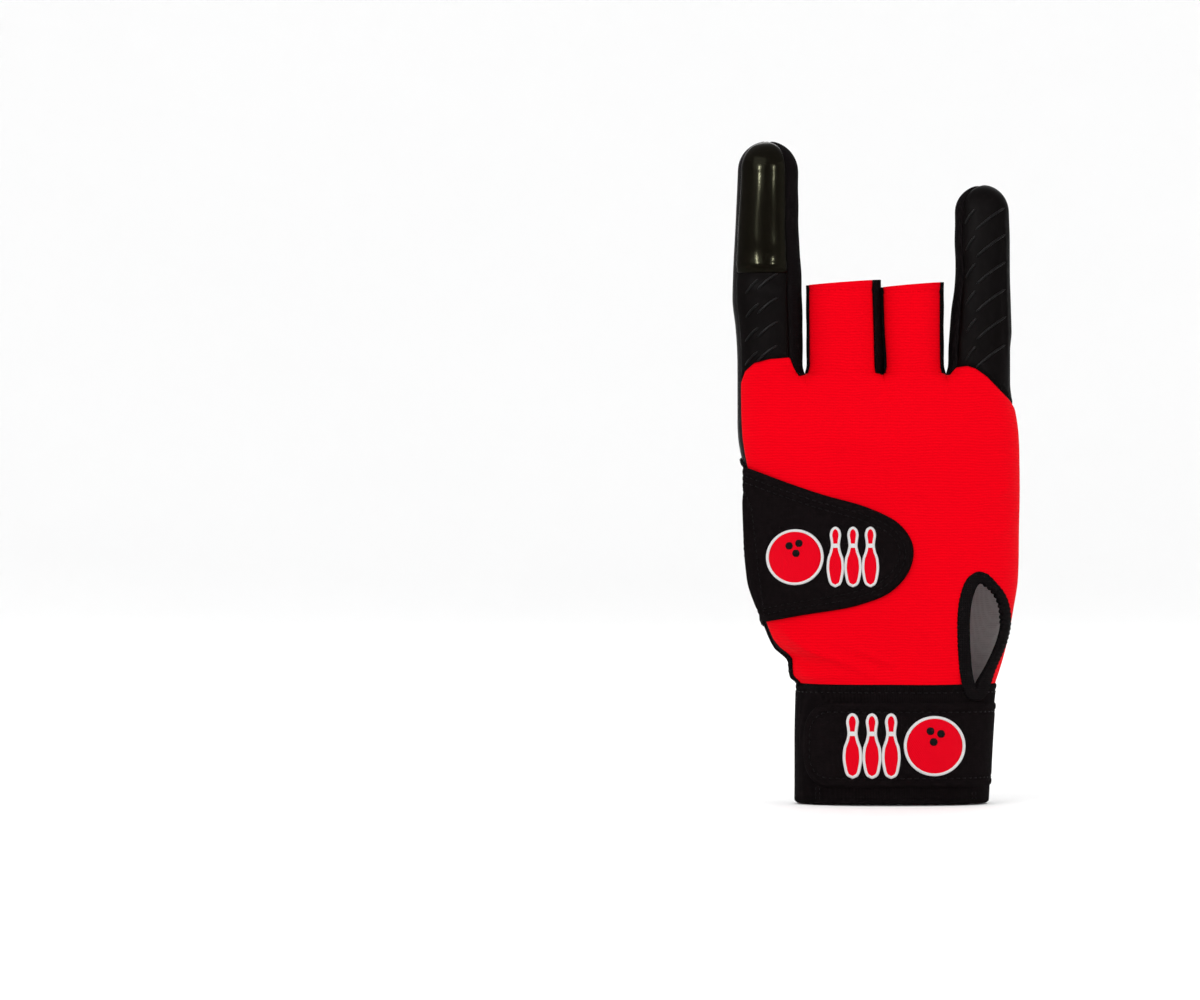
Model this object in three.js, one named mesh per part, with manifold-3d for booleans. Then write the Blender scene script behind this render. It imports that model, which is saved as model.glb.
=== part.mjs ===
// A right-hand bowling glove with half sleeves on two fingers, held in its worn form.
// Millimetres, +Z up along the fingers, -Y out of the back of the hand, +X towards the little finger.
// The origin is the middle of the wrist opening, on the lower rim of the wrist band.
import * as THREE from 'three';
import { mergeVertices } from 'three/addons/utils/BufferGeometryUtils.js';
import Module from 'manifold-3d';

// Heights
const BAND_HEIGHT = 38;
const PALM_HEIGHT = 99.6; // from the top of the band to the crotches between the fingers
const INDEX_LENGTH = 74.9;
const MIDDLE_SLEEVE_LENGTH = 29.2;
const RING_SLEEVE_LENGTH = 28.5;
const LITTLE_LENGTH = 60.7;
const TIP_COVER_LENGTH = 42.9;
const KNUCKLE_BLEND = 24; // height over which the hand's depth falls to the fingers'
const WEB_LENGTH = 16; // height over which the grooves between the fingers round down to the crotches
const MOUTH_MARGIN = 8; // spare length that is cut away at each open mouth

// Widths, across the crotches
const INDEX_WIDTH = 21;
const MIDDLE_WIDTH = 24;
const RING_WIDTH = 19;
const LITTLE_WIDTH = 20;
const FINGER_GAP = 1.2;
const AXIS_TO_MIDDLE_CROTCH = 2.9; // the crotch beside the middle finger lies left of the wrist's axis
const WRIST_LEFT = 31;
const WRIST_RIGHT = 32.4;

// Depths from the mid-plane of the hand
const WRIST_BACK_DEPTH = 19;
const WRIST_PALM_DEPTH = 22;
const HAND_BACK_DEPTH = 15;
const HAND_PALM_DEPTH = 17.5;
const FINGER_DEPTH = 8.6;
const FINGER_CURL = 5; // how far the longest fingertip bends towards the palm

// Walls and clearances
const WALL = 1.3;
const BINDING_RAISE = 0.5;
const BINDING_WALL = 2.2;
const BINDING_WIDTH = 2.8;
const FLAP_WALL = 1.4;
const BAND_RAISE = 0.4;
const BAND_WALL = 2;
const STRAP_WALL = 1.2;
const CLEARANCE = 0.3;

// Seam between the back and the palm: its place on the mid-plane at the thumb side and the far side
const SEAM_THUMB_SIDE = -3.4;
const SEAM_OUTER_SIDE = 1.6;

// Half depth of the gusset on each side of the three finger gaps
const GUSSET_INDEX = 7;
const GUSSET_MIDDLE_LEFT = 2.6;
const GUSSET_MIDDLE_RIGHT = 5;
const GUSSET_RING_LEFT = 2;
const GUSSET_RING_RIGHT = 4;
const GUSSET_LITTLE = 5.7;
const GUSSET_DROP = 1.6; // how far a gusset reaches below its crotch

// Openings, flap and strap
const THUMB_HOLE_HEIGHT = 49;
const THUMB_HOLE_REACH = 24;
const THUMB_HOLE_LIFT = 46; // its middle above the top of the band
const KEYHOLE_HEIGHT = 32.5;
const KEYHOLE_WIDTH = 11.6;
const KEYHOLE_FROM_AXIS = 24;
const FLAP_REACH = 55.5; // from the thumb side to the nose
const FLAP_ROOT_HEIGHT = 51;
const FLAP_NOSE_RADIUS = 15.8;
const FLAP_LIFT = 42.2; // height of the nose's middle above the band
const FLAP_ROOT_DROP = 0.45; // share of the root that lies below the nose's middle
const FLAP_NOSE_FROM = -1.4; // the round nose's two ends, in radians from the level
const FLAP_NOSE_TO = 1.25;
const STRAP_HEIGHT = 27;
const STRAP_LIFT = 5.4;
const STRAP_END_FROM_AXIS = 28;
const STRAP_END_RADIUS = 10;
const STRAP_ROOT_FROM_AXIS = -6;

// Facets
const COLUMNS_PER_STRIP = 5;
const OUTLINE_STEPS = 28;

const BAND_TOP = BAND_HEIGHT;
const CROTCH = BAND_TOP + PALM_HEIGHT;
const FAR = 400; // beyond the glove on every side
const COLUMN_LAP = 0.01; // how far the fingers' regions reach into the palm's

// The four finger strips, from the thumb side outwards
const strips = layOutStrips([
  { name: 'index', width: INDEX_WIDTH, length: INDEX_LENGTH, closed: true },
  { name: 'middle', width: MIDDLE_WIDTH, length: MIDDLE_SLEEVE_LENGTH, closed: false },
  { name: 'ring', width: RING_WIDTH, length: RING_SLEEVE_LENGTH, closed: false },
  { name: 'little', width: LITTLE_WIDTH, length: LITTLE_LENGTH, closed: true },
]);
const [index, middle, ring, little] = strips;

function layOutStrips(fingers) {
  const [first, second] = fingers;
  let left = -AXIS_TO_MIDDLE_CROTCH - FINGER_GAP / 2 - second.width - FINGER_GAP - first.width;
  for (const finger of fingers) {
    finger.left = left;
    finger.right = left + finger.width;
    finger.centre = left + finger.width / 2;
    finger.tip = CROTCH + finger.length;
    left = finger.right + FINGER_GAP;
  }
  return fingers;
}

const KNUCKLES_LEFT = -index.left;
const KNUCKLES_RIGHT = little.right;

// Sections of the wrist and palm. height: share of PALM_HEIGHT above the band (or of BAND_HEIGHT below it);
// left, right: shares of the knuckles' reach to each side; back, palm: shares of the hand's two depths;
// square: exponent of the section's superellipse.
const palmSections = [
  { height: 0.0, left: 0.615, right: 0.876, back: 1.2, palm: 1.23, square: 2.2 },
  { height: 0.03, left: 0.665, right: 0.9, back: 1.19, palm: 1.22, square: 2.2 },
  { height: 0.075, left: 0.675, right: 0.935, back: 1.16, palm: 1.21, square: 2.2 },
  { height: 0.12, left: 0.765, right: 0.965, back: 1.14, palm: 1.2, square: 2.25 },
  { height: 0.18, left: 0.822, right: 1.0, back: 1.11, palm: 1.19, square: 2.3 },
  { height: 0.24, left: 0.865, right: 1.03, back: 1.09, palm: 1.18, square: 2.35 },
  { height: 0.34, left: 0.935, right: 1.066, back: 1.06, palm: 1.14, square: 2.4 },
  { height: 0.46, left: 0.958, right: 1.076, back: 1.03, palm: 1.08, square: 2.5 },
  { height: 0.58, left: 0.962, right: 1.078, back: 1.0, palm: 1.03, square: 2.6 },
  { height: 0.68, left: 0.958, right: 1.079, back: 0.99, palm: 1.0, square: 2.6 },
  { height: 0.74, left: 0.978, right: 1.078, back: 0.98, palm: 0.98, square: 2.6 },
  { height: 0.8, left: 0.995, right: 1.07, back: 0.97, palm: 0.96, square: 2.6 },
  { height: 0.87, left: 1.0, right: 1.045, back: 0.95, palm: 0.94, square: 2.6 },
  { height: 0.93, left: 1.0, right: 1.01, back: 0.92, palm: 0.9, square: 2.6 },
  { height: 0.97, left: 1.0, right: 1.0, back: 0.88, palm: 0.86, square: 2.5 },
  { height: 0.99, left: 1.0, right: 1.0, back: 0.86, palm: 0.83, square: 2.5 },
  { height: 1.0, left: 1.0, right: 1.0, back: 0.85, palm: 0.82, square: 2.5 },
];

// Sections of the wrist. height: share of BAND_HEIGHT; left, right: shares of the wrist's reach to each
// side; back, palm: shares of the wrist's two depths.
const wristSections = [
  { height: 0.0, left: 1.0, right: 0.945, back: 1.0, palm: 1.0, square: 2.2 },
  { height: 0.5, left: 1.0, right: 0.972, back: 0.98, palm: 0.99, square: 2.2 },
];

// Sections of a finger. height: share of its length; left, right: half widths as shares of its width;
// depth: share of FINGER_DEPTH.
const longFingerSections = [
  { height: 0.035, left: 0.5, right: 0.5, depth: 1.0 },
  { height: 0.1, left: 0.505, right: 0.5, depth: 0.99 },
  { height: 0.2, left: 0.53, right: 0.5, depth: 0.98 },
  { height: 0.32, left: 0.575, right: 0.49, depth: 1.0 },
  { height: 0.43, left: 0.565, right: 0.48, depth: 0.97 },
  { height: 0.62, left: 0.53, right: 0.44, depth: 0.9 },
  { height: 0.86, left: 0.49, right: 0.435, depth: 0.8 },
];
const littleFingerSections = [
  { height: 0.04, left: 0.5, right: 0.5, depth: 0.95 },
  { height: 0.12, left: 0.49, right: 0.5, depth: 0.93 },
  { height: 0.22, left: 0.475, right: 0.525, depth: 0.92 },
  { height: 0.34, left: 0.44, right: 0.515, depth: 0.9 },
  { height: 0.54, left: 0.375, right: 0.5, depth: 0.86 },
  { height: 0.7, left: 0.385, right: 0.5, depth: 0.82 },
  { height: 0.84, left: 0.38, right: 0.49, depth: 0.76 },
];
const middleSleeveSections = [
  { height: 0.09, left: 0.5, right: 0.51, depth: 1.02 },
  { height: 0.5, left: 0.503, right: 0.495, depth: 1.02 },
  { height: 1.0, left: 0.507, right: 0.475, depth: 1.0 },
];
// The ring sleeve leans against the middle one.
const ringSleeveSections = [
  { height: 0.09, left: 0.51, right: 0.5, depth: 1.02 },
  { height: 0.5, left: 0.545, right: 0.495, depth: 1.02 },
  { height: 1.0, left: 0.568, right: 0.5, depth: 1.0 },
];
// Rounding of a closed fingertip. height: share of the stretch above the last section;
// size: share of that section's half widths and depth.
const tipSections = [
  { height: 0.4, size: 0.92 },
  { height: 0.72, size: 0.75 },
  { height: 0.92, size: 0.47 },
  { height: 1.0, size: 0.18 },
];

const mix = THREE.MathUtils.lerp;
const sectionsOf = { index: longFingerSections, middle: middleSleeveSections, ring: ringSleeveSections,
  little: littleFingerSections };

// A superellipse's depth at x, with its own reach to the left and to the right.
function superellipseDepth(x, row, depth) {
  const reach = x < row.middle ? row.middle - row.left : row.right - row.middle;
  const share = Math.min(1, Math.abs(x - row.middle) / reach);
  return depth * Math.pow(1 - Math.pow(share, row.square), 1 / row.square);
}

// The rows of the wrist and palm, lowest first, in millimetres.
function palmRows() {
  const rows = [];
  const wrist = (section, height) => rows.push({
    height, left: -WRIST_LEFT * section.left, right: WRIST_RIGHT * section.right,
    back: WRIST_BACK_DEPTH * section.back, palm: WRIST_PALM_DEPTH * section.palm, square: section.square,
  });
  wrist(wristSections[0], -MOUTH_MARGIN);
  for (const section of wristSections) {
    wrist(section, BAND_HEIGHT * section.height);
  }
  for (const section of palmSections) {
    rows.push({
      height: BAND_TOP + PALM_HEIGHT * section.height,
      left: -KNUCKLES_LEFT * section.left, right: KNUCKLES_RIGHT * section.right,
      back: HAND_BACK_DEPTH * section.back, palm: HAND_PALM_DEPTH * section.palm, square: section.square,
    });
  }
  for (const row of rows) {
    row.middle = (row.left + row.right) / 2;
    row.edges = stripEdges(row);
  }
  return rows;
}

// The five edges of the strips at a palm row: the outer two on its outline, the inner ones spread evenly
// in the proportion that they have at the crotches.
function stripEdges(row) {
  const crotches = [middle.left, ring.left, little.left].map((edge) => edge - FINGER_GAP / 2);
  const inner = crotches.map((edge) => {
    const share = (edge - index.left) / (little.right - index.left);
    return mix(row.left, row.right, share);
  });
  return [row.left, ...inner, row.right];
}

// One sheet of a palm row, from the left edge to the right: points on the back or on the palm side.
function sheetPoints(row, side) {
  const parting = THREE.MathUtils.smoothstep(row.height, CROTCH - KNUCKLE_BLEND, CROTCH);
  const web = THREE.MathUtils.clamp(1 - (CROTCH - row.height) / WEB_LENGTH, 0, 1);
  const groove = 1 - Math.sqrt(1 - web * web);
  const depth = side < 0 ? row.back : row.palm;
  const last = strips.length - 1;
  const points = [];
  for (let strip = 0; strip < strips.length; strip++) {
    const [left, right] = [row.edges[strip], row.edges[strip + 1]];
    for (let column = strip ? 1 : 0; column <= COLUMNS_PER_STRIP; column++) {
      const angle = Math.PI * (column / COLUMNS_PER_STRIP - 0.5);
      const x = mix(left, right, 0.5 + Math.sin(angle) / 2);
      const onOutline = (strip === 0 && angle < 0) || (strip === last && angle > 0);
      const dip = 1 - groove * (1 - Math.cos(angle));
      const flat = superellipseDepth(x, row, depth) * (onOutline ? 1 : dip);
      const round = FINGER_DEPTH * (onOutline ? Math.cos(angle) : dip);
      points.push(new THREE.Vector3(x, side * mix(flat, round, parting), row.height));
    }
  }
  return points;
}

// The rows of one finger above the crotches, lowest first, in millimetres.
function fingerRows(finger) {
  const rows = sectionsOf[finger.name].map((section) => ({
    height: CROTCH + finger.length * section.height,
    left: finger.centre - finger.width * section.left,
    right: finger.centre + finger.width * section.right,
    depth: FINGER_DEPTH * section.depth,
  }));
  const last = rows[rows.length - 1];
  if (finger.closed) {
    const centre = (last.left + last.right) / 2;
    for (const section of tipSections) {
      rows.push({
        height: mix(last.height, finger.tip, section.height),
        left: mix(centre, last.left, section.size),
        right: mix(centre, last.right, section.size),
        depth: last.depth * section.size,
      });
    }
  } else {
    rows.push({ ...last, height: last.height + MOUTH_MARGIN });
  }
  return rows;
}

// The loops of one finger above the crotch row, each a closed ring that starts on its left edge.
function fingerLoops(finger) {
  return fingerRows(finger).map((row) => {
    const loop = [];
    for (let column = 0; column < 2 * COLUMNS_PER_STRIP; column++) {
      const angle = Math.PI * (column / COLUMNS_PER_STRIP - 0.5);
      const x = mix(row.left, row.right, 0.5 + Math.sin(angle) / 2);
      loop.push(new THREE.Vector3(x, -row.depth * Math.cos(angle), row.height));
    }
    return loop;
  });
}

// The closed outer surface of the worn glove, with its mouths still shut and drawn out.
function gloveSurface() {
  const triangles = [];
  const quad = (a, b, c, d) => triangles.push(a, b, c, a, c, d);
  const bridge = (lower, upper) => {
    const count = lower.length;
    for (let i = 0; i < count; i++) {
      const next = (i + 1) % count;
      quad(lower[i], lower[next], upper[next], upper[i]);
    }
  };
  const lid = (loop, up) => {
    const centre = loop.reduce((sum, point) => sum.add(point), new THREE.Vector3()).divideScalar(loop.length);
    for (let i = 0; i < loop.length; i++) {
      const next = (i + 1) % loop.length;
      triangles.push(...(up ? [loop[i], loop[next], centre] : [loop[next], loop[i], centre]));
    }
  };
  const palmLoops = palmRows().map((row) => {
    const palmSide = sheetPoints(row, 1).reverse().slice(1, -1);
    return [...sheetPoints(row, -1), ...palmSide];
  });
  for (let i = 1; i < palmLoops.length; i++) {
    bridge(palmLoops[i - 1], palmLoops[i]);
  }
  lid(palmLoops[0], false);
  const crotchRow = palmLoops[palmLoops.length - 1];
  const backCount = strips.length * COLUMNS_PER_STRIP;
  strips.forEach((finger, strip) => {
    const start = strip * COLUMNS_PER_STRIP;
    const back = crotchRow.slice(start, start + COLUMNS_PER_STRIP + 1);
    const palmStart = 2 * backCount - start - COLUMNS_PER_STRIP;
    const palm = crotchRow.slice(palmStart + 1, palmStart + COLUMNS_PER_STRIP);
    const loops = [[...back, ...palm], ...fingerLoops(finger)];
    for (let i = 1; i < loops.length; i++) {
      bridge(loops[i - 1], loops[i]);
    }
    lid(loops[loops.length - 1], true);
  });
  return triangles;
}

const wasm = await Module();
wasm.setup();

// A manifold solid from a closed geometry.
function toSolid(geometry) {
  const bare = geometry.clone();
  bare.deleteAttribute('normal');
  bare.deleteAttribute('uv');
  const merged = mergeVertices(bare, 1e-4);
  return new wasm.Manifold(new wasm.Mesh({
    numProp: 3,
    vertProperties: new Float32Array(merged.attributes.position.array),
    triVerts: new Uint32Array(merged.index.array),
  }));
}

const core = mergeVertices(new THREE.BufferGeometry().setFromPoints(gloveSurface()), 1e-4);
core.computeVertexNormals();

// The glove's surface moved outwards along its normals, as a solid.
function layer(offset) {
  const moved = core.clone();
  const { position, normal } = moved.attributes;
  for (let i = 0; i < position.count; i++) {
    position.setXYZ(
      i,
      position.getX(i) + offset * normal.getX(i),
      position.getY(i) + offset * normal.getY(i),
      position.getZ(i) + offset * normal.getZ(i),
    );
  }
  return toSolid(moved);
}

const shellBetween = (inner, outer) => layer(outer).subtract(layer(inner));

// A prism along Y from an outline of (x, z) points.
function prismAlongY(points, from, to) {
  const geometry = new THREE.ExtrudeGeometry(new THREE.Shape(points), { depth: to - from, bevelEnabled: false });
  geometry.rotateX(Math.PI / 2);
  geometry.translate(0, to, 0);
  return toSolid(geometry);
}

// A prism along X from an outline of (y, z) points.
function prismAlongX(points, from, to) {
  const geometry = new THREE.ExtrudeGeometry(new THREE.Shape(points), { depth: to - from, bevelEnabled: false });
  geometry.rotateX(Math.PI / 2);
  geometry.rotateZ(Math.PI / 2);
  geometry.translate(from, 0, 0);
  return toSolid(geometry);
}

const slab = (from, to) => prismAlongY(
  [[-FAR, from], [FAR, from], [FAR, to], [-FAR, to]].map(([x, z]) => new THREE.Vector2(x, z)), -FAR, FAR);

// An outline moved outwards by a distance, point by point along its normals. Outlines run anticlockwise.
function grown(points, distance) {
  return points.map((point, i) => {
    const before = points[(i + points.length - 1) % points.length];
    const after = points[(i + 1) % points.length];
    const along = new THREE.Vector2().subVectors(after, before).normalize();
    return new THREE.Vector2(point.x + along.y * distance, point.y - along.x * distance);
  });
}

// The half space in front of the seam between back and palm (side -1) or behind it (side 1).
function seamSide(side, clearance) {
  const box = new THREE.BoxGeometry(2 * FAR, FAR, 2 * FAR);
  const span = KNUCKLES_LEFT + KNUCKLES_RIGHT;
  const slope = Math.atan2(SEAM_OUTER_SIDE - SEAM_THUMB_SIDE, span);
  box.translate(0, side * (FAR / 2 + clearance), 0);
  box.rotateZ(slope);
  box.translate(0, mix(SEAM_THUMB_SIDE, SEAM_OUTER_SIDE, KNUCKLES_LEFT / span), 0);
  return toSolid(box);
}

// The region of one gusset side: a slab about the mid-plane between two x values, which narrows with the
// finger's depth up to a closed fingertip.
function gussetSide(finger, from, to, halfDepth, growth) {
  const profile = [
    { depth: halfDepth, height: CROTCH - GUSSET_DROP - growth },
    ...fingerRows(finger).map((row) => ({ depth: halfDepth * row.depth / FINGER_DEPTH, height: row.height })),
  ];
  const front = profile.map(({ depth, height }) => new THREE.Vector2(depth + growth, height));
  const back = profile.map(({ depth, height }) => new THREE.Vector2(-depth - growth, height)).reverse();
  return prismAlongX([...front, ...back], from, to);
}

// The region of the gusset between two fingers.
function gussetRegion(leftFinger, rightFinger, leftHalf, rightHalf, growth = 0) {
  const crotch = (leftFinger.right + rightFinger.left) / 2;
  const lap = FINGER_GAP / 4;
  return gussetSide(leftFinger, leftFinger.centre, crotch + lap, leftHalf, growth)
    .add(gussetSide(rightFinger, crotch - lap, rightFinger.centre, rightHalf, growth));
}

const gussets = [
  { name: 'fourchette_index_middle', of: [index, middle, GUSSET_INDEX, GUSSET_MIDDLE_LEFT] },
  { name: 'fourchette_middle_ring', of: [middle, ring, GUSSET_MIDDLE_RIGHT, GUSSET_RING_LEFT] },
  { name: 'fourchette_ring_little', of: [ring, little, GUSSET_RING_RIGHT, GUSSET_LITTLE] },
];

// The thumb hole's outline: an ellipse about the thumb side.
function thumbHoleOutline() {
  const centre = new THREE.Vector2(-KNUCKLES_LEFT, BAND_TOP + THUMB_HOLE_LIFT);
  const ellipse = new THREE.EllipseCurve(centre.x, centre.y, THUMB_HOLE_REACH, THUMB_HOLE_HEIGHT / 2);
  return ellipse.getPoints(OUTLINE_STEPS).slice(0, -1);
}

// The teardrop opening's outline, anticlockwise from its tip. across, up: shares of its width and height.
const keyholeTable = [
  { across: 0.14, up: 0.0 },
  { across: 0.34, up: 0.08 },
  { across: 0.62, up: 0.24 },
  { across: 0.9, up: 0.45 },
  { across: 1.0, up: 0.64 },
  { across: 0.9, up: 0.82 },
  { across: 0.62, up: 0.95 },
  { across: 0.3, up: 1.0 },
  { across: 0.1, up: 0.88 },
  { across: 0.0, up: 0.66 },
  { across: 0.02, up: 0.34 },
];

function keyholeOutline() {
  const corners = keyholeTable.map(({ across, up }) => new THREE.Vector3(
    KEYHOLE_FROM_AXIS + KEYHOLE_WIDTH * across, BAND_TOP + KEYHOLE_HEIGHT * up, 0));
  const curve = new THREE.CatmullRomCurve3(corners, true);
  return curve.getPoints(OUTLINE_STEPS).slice(0, -1).map(({ x, y }) => new THREE.Vector2(x, y));
}

// The thumb flap's outline: two straight edges from the thumb side and a round nose.
function flapOutline() {
  const nose = new THREE.Vector2(FLAP_REACH - KNUCKLES_LEFT - FLAP_NOSE_RADIUS, BAND_TOP + FLAP_LIFT);
  const rootX = -KNUCKLES_LEFT - 2 * FLAP_WALL;
  const rootLow = nose.y - FLAP_ROOT_HEIGHT * FLAP_ROOT_DROP;
  const arc = new THREE.EllipseCurve(
    nose.x, nose.y, FLAP_NOSE_RADIUS, FLAP_NOSE_RADIUS, FLAP_NOSE_FROM, FLAP_NOSE_TO);
  return [
    new THREE.Vector2(rootX, rootLow),
    ...arc.getPoints(OUTLINE_STEPS / 2),
    new THREE.Vector2(rootX, rootLow + FLAP_ROOT_HEIGHT),
  ];
}

// The strap's outline on the back of the wrist: a rounded end towards the thumb side.
function strapOutline() {
  const [low, high] = [STRAP_LIFT, STRAP_LIFT + STRAP_HEIGHT];
  const end = -STRAP_END_FROM_AXIS;
  const corner = (x, z, from, to) => new THREE.EllipseCurve(x, z, STRAP_END_RADIUS, STRAP_END_RADIUS, from, to)
    .getPoints(OUTLINE_STEPS / 4);
  return [
    new THREE.Vector2(FAR, low),
    new THREE.Vector2(FAR, high),
    ...corner(end + STRAP_END_RADIUS, high - STRAP_END_RADIUS, Math.PI / 2, Math.PI),
    ...corner(end + STRAP_END_RADIUS, low + STRAP_END_RADIUS, Math.PI, 1.5 * Math.PI),
  ];
}

// The edge between the knit back and a black finger piece. across: share of the finger's width from its
// thumb side; up: share of PALM_HEIGHT above the crotches.
const indexEdgeTable = [
  { across: -0.4, up: -0.042 },
  { across: 0.03, up: -0.038 },
  { across: 0.1, up: 0.006 },
  { across: 0.24, up: 0.032 },
  { across: 0.48, up: 0.045 },
  { across: 0.8, up: 0.051 },
  { across: 0.9, up: 0.016 },
];
const littleEdgeTable = [
  { across: 0.14, up: 0.02 },
  { across: 0.28, up: 0.024 },
  { across: 0.42, up: 0.016 },
  { across: 0.62, up: -0.013 },
  { across: 0.8, up: -0.048 },
  { across: 1.0, up: -0.086 },
  { across: 1.1, up: -0.122 },
  { across: 1.5, up: -0.126 },
];

// Both edges as (x, z) points from the thumb side.
function backTopEdge() {
  const edgeOn = (finger, table) => table.map(({ across, up }) => new THREE.Vector2(
    finger.left + finger.width * across, CROTCH + PALM_HEIGHT * up));
  const indexEdge = edgeOn(index, indexEdgeTable);
  const littleEdge = edgeOn(little, littleEdgeTable);
  indexEdge.push(new THREE.Vector2(index.right + FINGER_GAP / 2, CROTCH));
  littleEdge.unshift(new THREE.Vector2(little.left - FINGER_GAP / 2, CROTCH));
  return { index: indexEdge, little: littleEdge };
}

const shell = shellBetween(-WALL, 0);
const edges = backTopEdge();
const fingerRegion = (edge, growth) => {
  const first = edge[0];
  const last = edge[edge.length - 1];
  const outline = [...edge.map((point) => new THREE.Vector2(point.x, point.y - growth)),
    new THREE.Vector2(last.x, FAR + CROTCH), new THREE.Vector2(first.x, FAR + CROTCH)];
  return prismAlongY(outline, -FAR, FAR);
};
const cutGussets = (solid) => gussets.reduce(
  (rest, gusset) => rest.subtract(gussetRegion(...gusset.of, CLEARANCE)), solid);

// The stretch of each finger that the glove covers, between the middles of the gaps beside it.
const fingerColumns = strips.map((finger) => {
  const left = finger.left - (finger === index ? index.width : FINGER_GAP) / 2;
  const right = finger.right + (finger === little ? little.width : FINGER_GAP) / 2;
  const top = finger.closed ? FAR : finger.tip;
  return prismAlongY([
    new THREE.Vector2(left, CROTCH - COLUMN_LAP),
    new THREE.Vector2(right, CROTCH - COLUMN_LAP),
    new THREE.Vector2(right, top),
    new THREE.Vector2(left, top),
  ], -FAR, FAR);
});

// The largest body of a cut solid, without the crumbs that two crossing cuts leave.
function mainBody(solid) {
  return solid.decompose().reduce((best, body) => (body.volume() > best.volume() ? body : best));
}

const keyhole = keyholeOutline();
const thumbHole = thumbHoleOutline();
const keyholeCut = prismAlongY(grown(keyhole, BINDING_WIDTH + CLEARANCE), -FAR, SEAM_THUMB_SIDE);
const thumbCut = prismAlongY(grown(thumbHole, CLEARANCE), SEAM_THUMB_SIDE, FAR);

const covered = fingerColumns.reduce((sum, column) => sum.add(column), slab(BAND_TOP + CLEARANCE, CROTCH));
const body = shell.intersect(covered);
const backHalf = cutGussets(body.intersect(seamSide(-1, CLEARANCE / 2)));
const palmHalf = cutGussets(body.intersect(seamSide(1, CLEARANCE / 2)));
const indexRegion = fingerRegion(edges.index, 0);
const littleRegion = fingerRegion(edges.little, 0);
const tipFoot = index.tip - TIP_COVER_LENGTH;

const knit = { color: 0xd8100f, roughness: 0.9, metalness: 0 };
const leather = { color: 0x17171a, roughness: 0.6, metalness: 0 };
const grip = { color: 0x101012, roughness: 0.5, metalness: 0 };
const gloss = { color: 0x0b0b0c, roughness: 0.2, metalness: 0 };
const loopCloth = { color: 0x141416, roughness: 0.95, metalness: 0 };

const bindingShell = shellBetween(BINDING_RAISE - BINDING_WALL, BINDING_RAISE);

function thumbBinding() {
  const outer = prismAlongY(thumbHole, SEAM_THUMB_SIDE, FAR).intersect(seamSide(1, CLEARANCE / 2));
  const inner = prismAlongY(grown(thumbHole, -BINDING_WIDTH), SEAM_THUMB_SIDE, FAR)
    .intersect(seamSide(1, CLEARANCE / 2 + BINDING_WIDTH));
  return bindingShell.intersect(outer.subtract(inner));
}

function keyholeBinding() {
  const ringRegion = prismAlongY(grown(keyhole, BINDING_WIDTH), -FAR, SEAM_THUMB_SIDE)
    .subtract(prismAlongY(keyhole, -FAR, SEAM_THUMB_SIDE));
  return bindingShell.intersect(ringRegion).intersect(slab(BAND_TOP + CLEARANCE, FAR));
}

function thumbFlap() {
  return shellBetween(CLEARANCE, CLEARANCE + FLAP_WALL)
    .intersect(prismAlongY(flapOutline(), -FAR, SEAM_THUMB_SIDE))
    .intersect(seamSide(-1, CLEARANCE));
}

function wristBand() {
  return shellBetween(BAND_RAISE - BAND_WALL, BAND_RAISE).intersect(slab(0, BAND_TOP));
}

function wristStrap() {
  const under = BAND_RAISE + CLEARANCE;
  const palmStretch = [
    new THREE.Vector2(STRAP_ROOT_FROM_AXIS, STRAP_LIFT),
    new THREE.Vector2(FAR, STRAP_LIFT),
    new THREE.Vector2(FAR, STRAP_LIFT + STRAP_HEIGHT),
    new THREE.Vector2(STRAP_ROOT_FROM_AXIS, STRAP_LIFT + STRAP_HEIGHT),
  ];
  const region = prismAlongY(strapOutline(), -FAR, 0.01).add(prismAlongY(palmStretch, 0, FAR));
  return shellBetween(under, under + STRAP_WALL).intersect(region);
}

const pieces = [
  { name: 'back_panel', finish: knit,
    solid: backHalf.subtract(fingerRegion(edges.index, CLEARANCE)).subtract(fingerRegion(edges.little, CLEARANCE))
      .subtract(keyholeCut) },
  { name: 'palm_panel', finish: leather, solid: palmHalf.subtract(thumbCut) },
  { name: 'index_stall', finish: grip, solid: backHalf.intersect(indexRegion).intersect(slab(0, tipFoot - CLEARANCE)) },
  { name: 'index_tip', finish: gloss, solid: backHalf.intersect(indexRegion).intersect(slab(tipFoot, FAR + CROTCH)) },
  { name: 'little_stall', finish: grip, solid: backHalf.intersect(littleRegion) },
  ...gussets.map((gusset) => ({ name: gusset.name, finish: leather,
    solid: body.intersect(gussetRegion(...gusset.of)) })),
  { name: 'thumb_binding', finish: leather, solid: thumbBinding() },
  { name: 'keyhole_binding', finish: leather, solid: keyholeBinding() },
  { name: 'thumb_flap', finish: loopCloth, solid: thumbFlap() },
  { name: 'wrist_band', finish: loopCloth, solid: wristBand() },
  { name: 'wrist_strap', finish: loopCloth, solid: wristStrap() },
];

// A mesh from a solid, with the worn hand's posture: above the crotches y moves towards the palm with
// the square of the height.
function toMesh({ name, solid, finish }) {
  const { vertProperties, triVerts, numProp } = mainBody(solid).getMesh();
  const positions = new Float32Array(vertProperties.length);
  for (let i = 0; i < vertProperties.length; i += numProp) {
    const [x, y, z] = vertProperties.slice(i, i + 3);
    const above = Math.max(0, z - CROTCH) / INDEX_LENGTH;
    positions.set([x, y + FINGER_CURL * above * above, z], i);
  }
  const geometry = new THREE.BufferGeometry();
  geometry.setAttribute('position', new THREE.BufferAttribute(positions, 3));
  geometry.setIndex(new THREE.BufferAttribute(new Uint32Array(triVerts), 1));
  geometry.computeVertexNormals();
  const mesh = new THREE.Mesh(geometry, new THREE.MeshStandardMaterial(finish));
  mesh.name = name;
  return mesh;
}

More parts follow.
